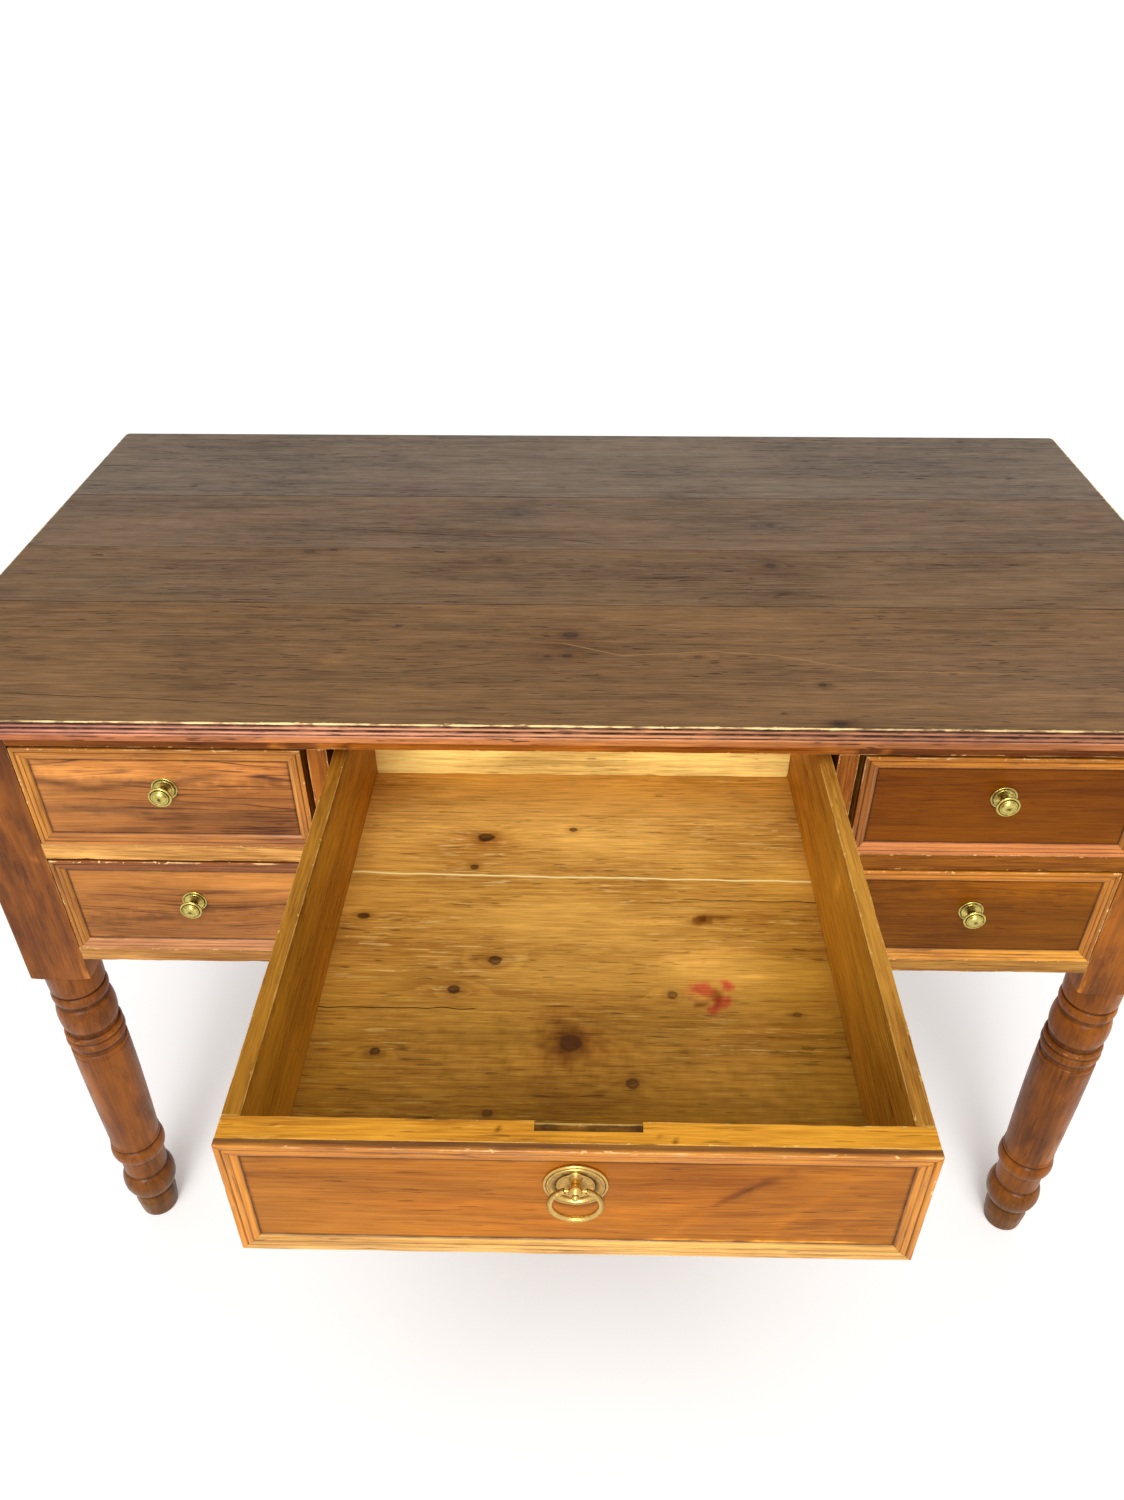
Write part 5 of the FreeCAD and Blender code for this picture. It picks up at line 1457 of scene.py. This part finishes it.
# A painted lilac highlight for the lower left drawer's low strip.
LILAC_HIGHLIGHT = (0.95, 1.0, 2.4)
RED_BROWN = (0.6, 0.5, 0.3)
UPPER_LEFT_MARKS = [
    (-375, 718, 140, 16, WARM, 2.4), (-470, 700, 30, 4, DUSK, 2, -12), (-420, 696, 50, 3, DUSK, 2, 8),
    (-350, 704, 30, 3, DUSK, 1.6, 14), (-370, 676, 110, 4, STREAK, 1.5, 4),
    (-345, 662, 90, 5, (0.72, 0.74, 0.85), 1.4, -3), (-430, 668, 40, 3, STREAK, 1.5, -6),
    (-374, 728, 2, 1, DUSK, 2), (-360, 722, 3, 1, DUSK, 2), (-345, 726, 2, 1, DUSK, 2),
]
LOWER_LEFT_MARKS = [
    (-375, 518, 140, 12, BROWN_STREAK, 1.4), (-340, 548, 70, 3, DUSK, 1.6, 6),
    (-430, 560, 60, 3, BROWN_STREAK, 1.5, -5), (-300, 580, 60, 10, (1.3, 1.35, 1.2), 1.4),
    (-420, 532, 50, 3, DUSK, 1.6, 4), (-360, 568, 60, 3, (0.75, 0.74, 0.85), 1.5, 5),
]
LOWER_RIGHT_MARKS = [(420, 592, 90, 12, (1.8, 1.8, 1.6), 1.6), (375, 516, 140, 12, (0.75, 0.72, 0.7), 1.2)]
# Painted: shade on the lower left high strip; pale and lilac highlights on the low strips; highlight lines
# from raised wear.
BANKS = {
    "upper_left": {
        "pane": {"shade": (0.87, 0.93, 1.95), "marks": UPPER_LEFT_MARKS},
        "strips": {"high": strip_tint_and_sheen((1.2, 1.2, 1.2), 1.2), "low": strip_tint_and_sheen((0.8, 0.74, 0.95), 1.1)}},
    "upper_right": {
        "pane": {"shade": (0.4, 0.31, 0.026), "figured": 0.3,
                 "marks": [(400, 705, 110, 14, (1.15, 1.15, 1.2), 1.2)]},
        "strips": {"high": strip_tint_and_sheen((1.1, 1.0, 0.5), 1.3), "left": strip_tint_and_sheen(RED_BROWN),
                   "right": strip_tint_and_sheen((0.7, 0.62, 0.4)), "low": strip_tint_and_sheen((1.0, 0.86, 1.5), 1.7)}},
    "lower_left": {
        "pane": {"shade": (0.88, 0.98, 2.0), "marks": LOWER_LEFT_MARKS},
        "strips": {"high": strip_tint_and_sheen((0.5, 0.4, 0.6), 1.4), "left": strip_tint_and_sheen((0.7, 0.66, 0.6)),
                   "right": strip_tint_and_sheen((0.75, 0.7, 0.65)), "low": strip_tint_and_sheen(LILAC_HIGHLIGHT, 1.6)}},
    "lower_right": {
        "pane": {"shade": (0.42, 0.37, 0.08), "figured": 0.4, "marks": LOWER_RIGHT_MARKS},
        "strips": {"high": strip_tint_and_sheen((0.95, 0.85, 0.45)), "left": strip_tint_and_sheen(RED_BROWN),
                   "right": strip_tint_and_sheen((0.85, 0.78, 0.5), 1.5), "low": strip_tint_and_sheen((1.3, 1.4, 1.1), 1.3)}},
}
for place, (key, looks) in enumerate(BANKS.items()):
    dress_drawer(f"{key}_drawer", 200 + 60 * place, **looks)
print("pieces so far:", len(PIECES))

# %% [markdown]
# ## Brass
#
# Old brass is polished where fingers reach it and brown in its grooves. Knobs and plates are turned,
# so each is a profile spun about an axis that points to the front. The recess attribute says how deep
# a point sits below its surroundings, and the patina follows it.

# %% Brass material and turned fittings
def brass_material(name, polished, tarnished, patches):
    """Brass with brown grooves and cloudy patches of tarnish."""
    material, tree, shader = new_material(name)
    place = attribute(tree, "grain")
    recess = attribute(tree, "recess", "Fac")
    cloud = place.noise(260.0, 3.0, 0.6)
    fine = place.noise(1500.0, 2.0, 0.6)
    patina = (recess * 0.9 + cloud.between(0.42, 0.7) * patches).clamped()
    feed(shader.inputs["Base Color"], patina.mixed(polished, tarnished))
    shader.inputs["Metallic"].default_value = 1.0
    feed(shader.inputs["Roughness"], cloud.between(0.3, 0.7, 0.2, 0.34) + patina * 0.25)
    bumped(tree, shader, fine + cloud, 0.05 * MM)
    return material


RECESS_DEPTH = 0.5 * MM
BRASS = brass_material("bright_brass", paint(216, 178, 100), paint(96, 66, 30), 0.3)
DULL_BRASS = brass_material("aged_brass", paint(208, 190, 104), paint(74, 58, 28), 0.4)


def moving_average(values, each_way=4):
    """Each value's average with its neighbours on both sides, and with repeated ends."""
    window = 2 * each_way + 1
    return np.convolve(np.pad(values, each_way, mode="edge"), np.ones(window) / window, mode="valid")


def spun(axis_x, face_y, axis_z, section, count=72):
    """A profile of (distance out of the face, radius) in mm, spun about a line along Y. A point is in a
    recess as far as it lies inside the average of its neighbours."""
    out, radius = np.array(section).T * MM
    angles = np.linspace(0, 2 * math.pi, count + 1)
    cosine, sine = np.cos(angles), np.sin(angles)
    cosine[-1], sine[-1] = cosine[0], sine[0]
    points = np.stack([axis_x + radius[:, None] * cosine, np.repeat(face_y - out[:, None], count + 1, axis=1),
                       axis_z + radius[:, None] * sine], -1)
    inside = moving_average(radius) - radius + moving_average(out) - out
    recess = np.clip(inside / RECESS_DEPTH, 0, 1)
    return points.reshape(-1, 3), grid_quads(len(section), count + 1), np.repeat(recess, count + 1)


def bead_arc(out, radius, size, start, end, count=9):
    """Points of a round bead in a section: an arc of this size between two angles, in degrees."""
    turn = np.radians(np.linspace(start, end, count))
    return [(out + size * math.sin(t), radius + size * math.cos(t)) for t in turn]


def fitting(name, node, shapes, body, material=BRASS):
    """Join spun shapes into one brass piece."""
    shape = joined(*[(points, quads, {"grain": points, "recess": recess})
                     for points, quads, recess in shapes])
    return make_piece(name, shape, material, body, [node], sharp=60)


print("a bead is drawn with", len(bead_arc(0, 0, 1, 0, 90)), "points")

# %% [markdown]
# ## Knobs
#
# A knob is two turned pieces: a stepped plate, and a mushroom on a thin neck whose flat top has a bead
# of its own. A section is a list of (distance out of the face, radius) in mm, from the axis and back
# to it, and `bead_arc` writes its round parts.

# %% The four knobs
KNOB_PLATE = ([(0.0, 0.0), (0.0, 11.2)] + bead_arc(0.75, 11.05, 0.75, -70, 90) + [(1.35, 10.3), (1.25, 9.7)]
              + bead_arc(1.7, 8.9, 0.55, -20, 110, 7)
              + [(1.9, 8.0), (1.7, 7.4), (1.8, 6.6), (2.4, 5.4), (2.7, 4.6), (2.7, 0.0)])
KNOB_HEAD = ([(2.6, 0.0), (2.6, 3.9), (3.4, 3.5), (6.0, 3.4), (8.2, 3.8), (10.0, 5.4), (11.4, 7.6),
              (12.0, 9.0)]
             + bead_arc(13.1, 9.35, 1.25, -50, 90) + [(14.1, 8.6), (13.9, 8.1)]
             + bead_arc(14.35, 7.3, 0.5, 0, 120, 7)
             + [(14.6, 6.6), (15.3, 6.2), (16.0, 5.2), (16.6, 3.8), (16.9, 2.0), (17.0, 0.0)])
for key in BANKS:
    low, high = corners(f"{key}_knob")
    centre = (low + high) / 2
    panel_face = corners(f"{key}_drawer_front")[0][Y] - PANEL_THICK
    fitting(f"{key}_brass_knob", f"{key}_knob",
            [spun(centre[X], panel_face, centre[Z], section) for section in (KNOB_PLATE, KNOB_HEAD)],
            f"{key}_drawer", DULL_BRASS)
print("a knob stands", KNOB_HEAD[-1][0], "mm out of its panel")

# %% [markdown]
# ## The ring pull
#
# A round plate with two beads, a pillar that ends in a ball, and a hoop that swings on two pins in the
# pillar's head. The hoop's outer rim is milled like a coin: the wire's own radius is a little smaller at
# every groove, and the grooves run aslant. Plate and pillar are turned, as the knobs are.

# %% Plate and pillar
PULL_PLATE = ([(0.0, 0.0), (0.0, 19.0)] + bead_arc(1.2, 18.8, 1.2, -80, 100, 11) + [(2.2, 17.9), (2.1, 17.6)]
              + bead_arc(1.9, 16.9, 1.0, 10, 130, 9) + [(1.9, 15.6), (1.5, 14.8), (1.5, 12.2), (1.7, 11.7)]
              + bead_arc(1.7, 11.1, 0.7, 0, 160, 9) + [(1.5, 10.2), (1.2, 8.0), (1.0, 5.0), (1.0, 0.0)])
PULL_POST = ([(0.0, 0.0), (0.0, 4.6), (2.2, 4.4), (2.8, 3.6), (5.6, 3.3)]
             + bead_arc(10.7, 0.0, 4.4, -48, 62, 17) + bead_arc(15.1, 0.0, 2.3, -25, 90, 11))
plate_low, plate_high = corners("pull_plate")
plate_centre = (plate_low + plate_high) / 2
ring_low, ring_high = corners("pull_ring")
pivot_y = (ring_low[Y] + ring_high[Y]) / 2
pivot_z = sum(corners("pull_post"))[Z] / 2
fitting("pull_back_plate", "pull_plate",
        [spun(plate_centre[X], plate_high[Y], plate_centre[Z], PULL_PLATE, 96)], "centre_drawer")
fitting("pull_pillar", "pull_post", [spun(0.0, plate_high[Y], pivot_z, PULL_POST, 48)], "centre_drawer")
print("the hoop turns about a line", round(pivot_z / MM, 1), "mm above the floor")

# %% [markdown]
# ## The hoop and its pins
#
# A torus would be a closed ring with a smooth rim. Here the circle stops at both sides of the pillar's
# head, where a pin joins each end to it, and the grooves of the milling come from one sine.

# %% The hoop
HALF_GAP = 6.6 * MM
PIN_FROM = 2.4 * MM
PIN_RADIUS = 0.9 * MM
WIRE = 1.9 * MM
MILL_DEPTH = 0.13 * MM
MILLS = 132
MILL_SLANT = 2.2


def milled_ring():
    """An open hoop with a milled outer rim, closed at both ends: a circle of the wire's size, less a sine
    of the turn on the outer side, carried round a circle about the pivot's line."""
    radius = (ring_high[X] - ring_low[X]) / 2 - WIRE
    centre_z = ring_low[Z] + radius + WIRE
    opening = math.asin(HALF_GAP / radius)
    turn = np.linspace(opening, 2 * math.pi - opening, 780)[:, None]
    around = np.linspace(0, 2 * math.pi, 25)[None, :]
    outer = np.clip(np.cos(around), 0, 1) ** 0.7
    ridge = MILL_DEPTH * (np.sin(turn * MILLS + MILL_SLANT * np.sin(around)) - 1) * outer
    size = WIRE + ridge
    size = np.concatenate([size[:1] * 0, size, size[-1:] * 0])
    turn = np.concatenate([turn[:1], turn, turn[-1:]])
    reach = radius + size * np.cos(around)
    points = np.stack([reach * np.sin(turn), pivot_y + size * np.sin(around) * 0.98,
                       centre_z + reach * np.cos(turn)], -1)
    points[:, -1] = points[:, 0]
    recess = np.clip(-ridge / (0.22 * MM), 0, 1)
    recess = np.concatenate([recess[:1], recess, recess[-1:]])
    return points.reshape(-1, 3), grid_quads(*points.shape[:2]), recess.ravel()


def pin(sign, count=16):
    """A round pin along X from the hoop's end into the pillar's head, closed at both ends."""
    ends = sorted((sign * PIN_FROM, sign * HALF_GAP))
    xs = np.repeat(ends, 2)[:, None]
    sizes = PIN_RADIUS * np.array([0, 1, 1, 0])[:, None]
    angles = np.linspace(0, 2 * math.pi, count + 1)
    points = np.stack([np.repeat(xs, count + 1, axis=1), pivot_y + sizes * np.cos(angles),
                       pivot_z + sizes * np.sin(angles)], -1)
    points[:, -1] = points[:, 0]
    return points.reshape(-1, 3), grid_quads(*points.shape[:2]), np.zeros(points[..., 0].size)


fitting("pull_hoop", "pull_ring", [milled_ring(), pin(-1), pin(1)], "pull_ring")
print("the hoop is", round((ring_high - ring_low)[X] / MM, 1), "mm across")

# %% [markdown]
# ## Hidden wood and screws
#
# Runners, kickers and screws only show when a drawer is out or from below. Their parts have the right
# shape, so a merged copy with softened arrises is enough, in the same pine and in dull steel.

# %% Softened copies
def softened(node, material, along, face, seed):
    """A merged copy of a part with its flat faces joined and its arrises bevelled."""
    mesh = NODES[node].data.copy()
    mesh.materials.clear()
    mesh.materials.append(material)
    work = bmesh.new()
    work.from_mesh(mesh)
    bmesh.ops.remove_doubles(work, verts=work.verts, dist=1e-6)
    bmesh.ops.dissolve_limit(work, angle_limit=math.radians(2), verts=work.verts, edges=work.edges)
    work.to_mesh(mesh)
    work.free()
    points = np.zeros(len(mesh.vertices) * 3)
    mesh.vertices.foreach_get("co", points)
    add_facts(mesh, wood_facts(points.reshape(-1, 3), along, face, seed))
    piece = placed(f"{node}_soft", mesh)
    bevel = piece.modifiers.new("arris", "BEVEL")
    bevel.width = 0.5 * MM
    bevel.segments = 2
    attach(piece, NODES[node]["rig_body"])
    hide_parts(node)


for number, node in enumerate(("left_bank_runners", "right_bank_runners", "centre_runners",
                               "drawer_kickers")):
    softened(node, PINE, "y", Z, 500 + number)


def steel_material():
    """Dull screws with rust in patches."""
    material, tree, shader = new_material("dull_steel")
    place = tree.nodes.new("ShaderNodeTexCoord")
    cloud = Signal(tree, place.outputs["Object"]).noise(400.0, 3.0, 0.6)
    rust = cloud.between(0.5, 0.68).mixed(paint(120, 118, 114), paint(92, 66, 48))
    feed(shader.inputs["Base Color"], rust)
    feed(shader.inputs["Roughness"], cloud.between(0.3, 0.7, 0.35, 0.6))
    shader.inputs["Metallic"].default_value = 0.9
    return material


NODES["top_screws"].data.materials.clear()
NODES["top_screws"].data.materials.append(steel_material())
print("all materials:", len(bpy.data.materials))

# %% [markdown]
# ## Floor and sky
#
# The desk stands on a seamless white ground that keeps a soft grey shadow. The floor is a pale
# diffuse plane, and only rays that come from the camera, a gloss or a clear body see a little added
# white, so the ground reads white without any more light on the wood. The sky is white for the same
# rays and a dim grey for the light that it sheds.

# %% Floor and sky
FLOOR_PAINT = 0.88
FLOOR_GLOW = 0.22
FLOOR_HALF = 40.0
SKY = 0.43


def direct_view(tree):
    """1 for rays of the camera, of gloss and through clear bodies, else 0."""
    node = tree.nodes.new("ShaderNodeLightPath")
    seen = Signal(tree, node.outputs["Is Camera Ray"])
    for key in ("Is Glossy Ray", "Is Transmission Ray"):
        seen = seen.math("MAXIMUM", Signal(tree, node.outputs[key]))
    return seen


def make_floor():
    """A large square of pale floor."""
    mesh = bpy.data.meshes.new("studio_floor")
    turns = ((-1, -1), (1, -1), (1, 1), (-1, 1))
    mesh.from_pydata([(x * FLOOR_HALF, y * FLOOR_HALF, 0) for x, y in turns], [], [(0, 1, 2, 3)])
    floor = placed("studio_floor", mesh)
    material, tree, shader = new_material("studio_white")
    shader.inputs["Base Color"].default_value = (FLOOR_PAINT, FLOOR_PAINT, FLOOR_PAINT, 1)
    shader.inputs["Roughness"].default_value = 1.0
    shader.inputs["Specular IOR Level"].default_value = 0.0
    shader.inputs["Emission Color"].default_value = (1, 1, 1, 1)
    feed(shader.inputs["Emission Strength"], direct_view(tree) * FLOOR_GLOW)
    mesh.materials.append(material)


make_floor()
world = bpy.data.worlds.new("studio_sky")
bpy.context.scene.world = world
world.use_nodes = True
sky_tree = world.node_tree
sky_light = sky_tree.nodes["Background"]
sky_light.inputs["Color"].default_value = (1, 1, 1, 1)
feed(sky_light.inputs["Strength"], direct_view(sky_tree) * (1 - SKY) + SKY)
print("the floor is", 2 * FLOOR_HALF, "m wide")

# %% [markdown]
# ## Two lamps
#
# A broad lamp stands high in front, a little to the left, and drops the desk's shadow under it. A
# second, somewhat stronger, shines in low from the front, past the top's edge and over the drawer's
# front, so the drawer's back wall glows. Both are wide, so their shadows have no hard edge. Sun lamps
# were chosen because their light is even over the whole desk.

# %% The lamps
def broad_lamp(name, azimuth, height, strength, spread):
    """Parallel light from an azimuth and height in degrees, softened by the lamp's spread in degrees."""
    lamp = bpy.data.lights.new(name, "SUN")
    lamp.energy = strength
    lamp.angle = math.radians(spread)
    holder = placed(name, lamp)
    azimuth, height = math.radians(azimuth), math.radians(height)
    level = math.cos(height)
    way = Vector((-math.sin(azimuth) * level, math.cos(azimuth) * level, -math.sin(height)))
    holder.rotation_euler = way.to_track_quat("-Z", "Y").to_euler()
    print(name, "shines along", [round(part, 2) for part in way])


broad_lamp("high_lamp", -2, 64, 1.35, 26)
broad_lamp("front_lamp", -4, 21, 1.75, 22)

# %% [markdown]
# ## The camera
#
# The photograph was taken with a short lens from just above the pulled-out drawer. Lining up the
# corners of the top, the drawer and the feet gave the camera's place, its three angles and its focal
# length in pixels.

# %% Camera
IMAGE_WIDTH, IMAGE_HEIGHT = 1124, 1500
FOCAL_PIXELS = 1133
OPTICAL_CENTRE = (564.4, 753.3)
CAMERA_PLACE = (3.1 * MM, -1089.3 * MM, 1320.6 * MM)
YAW, PITCH, ROLL = (math.radians(angle) for angle in (-1.31, 36.52, 0.19))
SENSOR = 36.0

forward = np.array([math.sin(YAW) * math.cos(PITCH), math.cos(YAW) * math.cos(PITCH), -math.sin(PITCH)])
level = np.array([math.cos(YAW), -math.sin(YAW), 0.0])
down = np.cross(forward, level)
right = level * math.cos(ROLL) + down * math.sin(ROLL)
below = -level * math.sin(ROLL) + down * math.cos(ROLL)
turn = Matrix(np.column_stack([right, -below, -forward]).tolist())
lens = bpy.data.cameras.new("camera")
lens.sensor_width = SENSOR
lens.lens = FOCAL_PIXELS * SENSOR / IMAGE_HEIGHT
lens.shift_x = (IMAGE_WIDTH / 2 - OPTICAL_CENTRE[0]) / IMAGE_HEIGHT
lens.shift_y = (OPTICAL_CENTRE[1] - IMAGE_HEIGHT / 2) / IMAGE_HEIGHT
lens.clip_end = 200
camera = placed("camera", lens)
camera.matrix_world = Matrix.Translation(CAMERA_PLACE) @ turn.to_4x4()
bpy.context.scene.camera = camera
bpy.context.scene.view_settings.view_transform = "Standard"
print("the lens is", round(lens.lens, 1), "mm long for a sensor of", SENSOR, "mm")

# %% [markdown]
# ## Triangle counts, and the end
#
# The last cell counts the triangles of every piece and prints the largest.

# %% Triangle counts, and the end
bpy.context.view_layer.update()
triangles = {p.name: sum(len(f.vertices) - 2 for f in p.data.polygons) for p in PIECES}
largest = max(triangles, key=triangles.get)
print("largest piece:", largest, triangles[largest], "triangles, and in all", sum(triangles.values()))
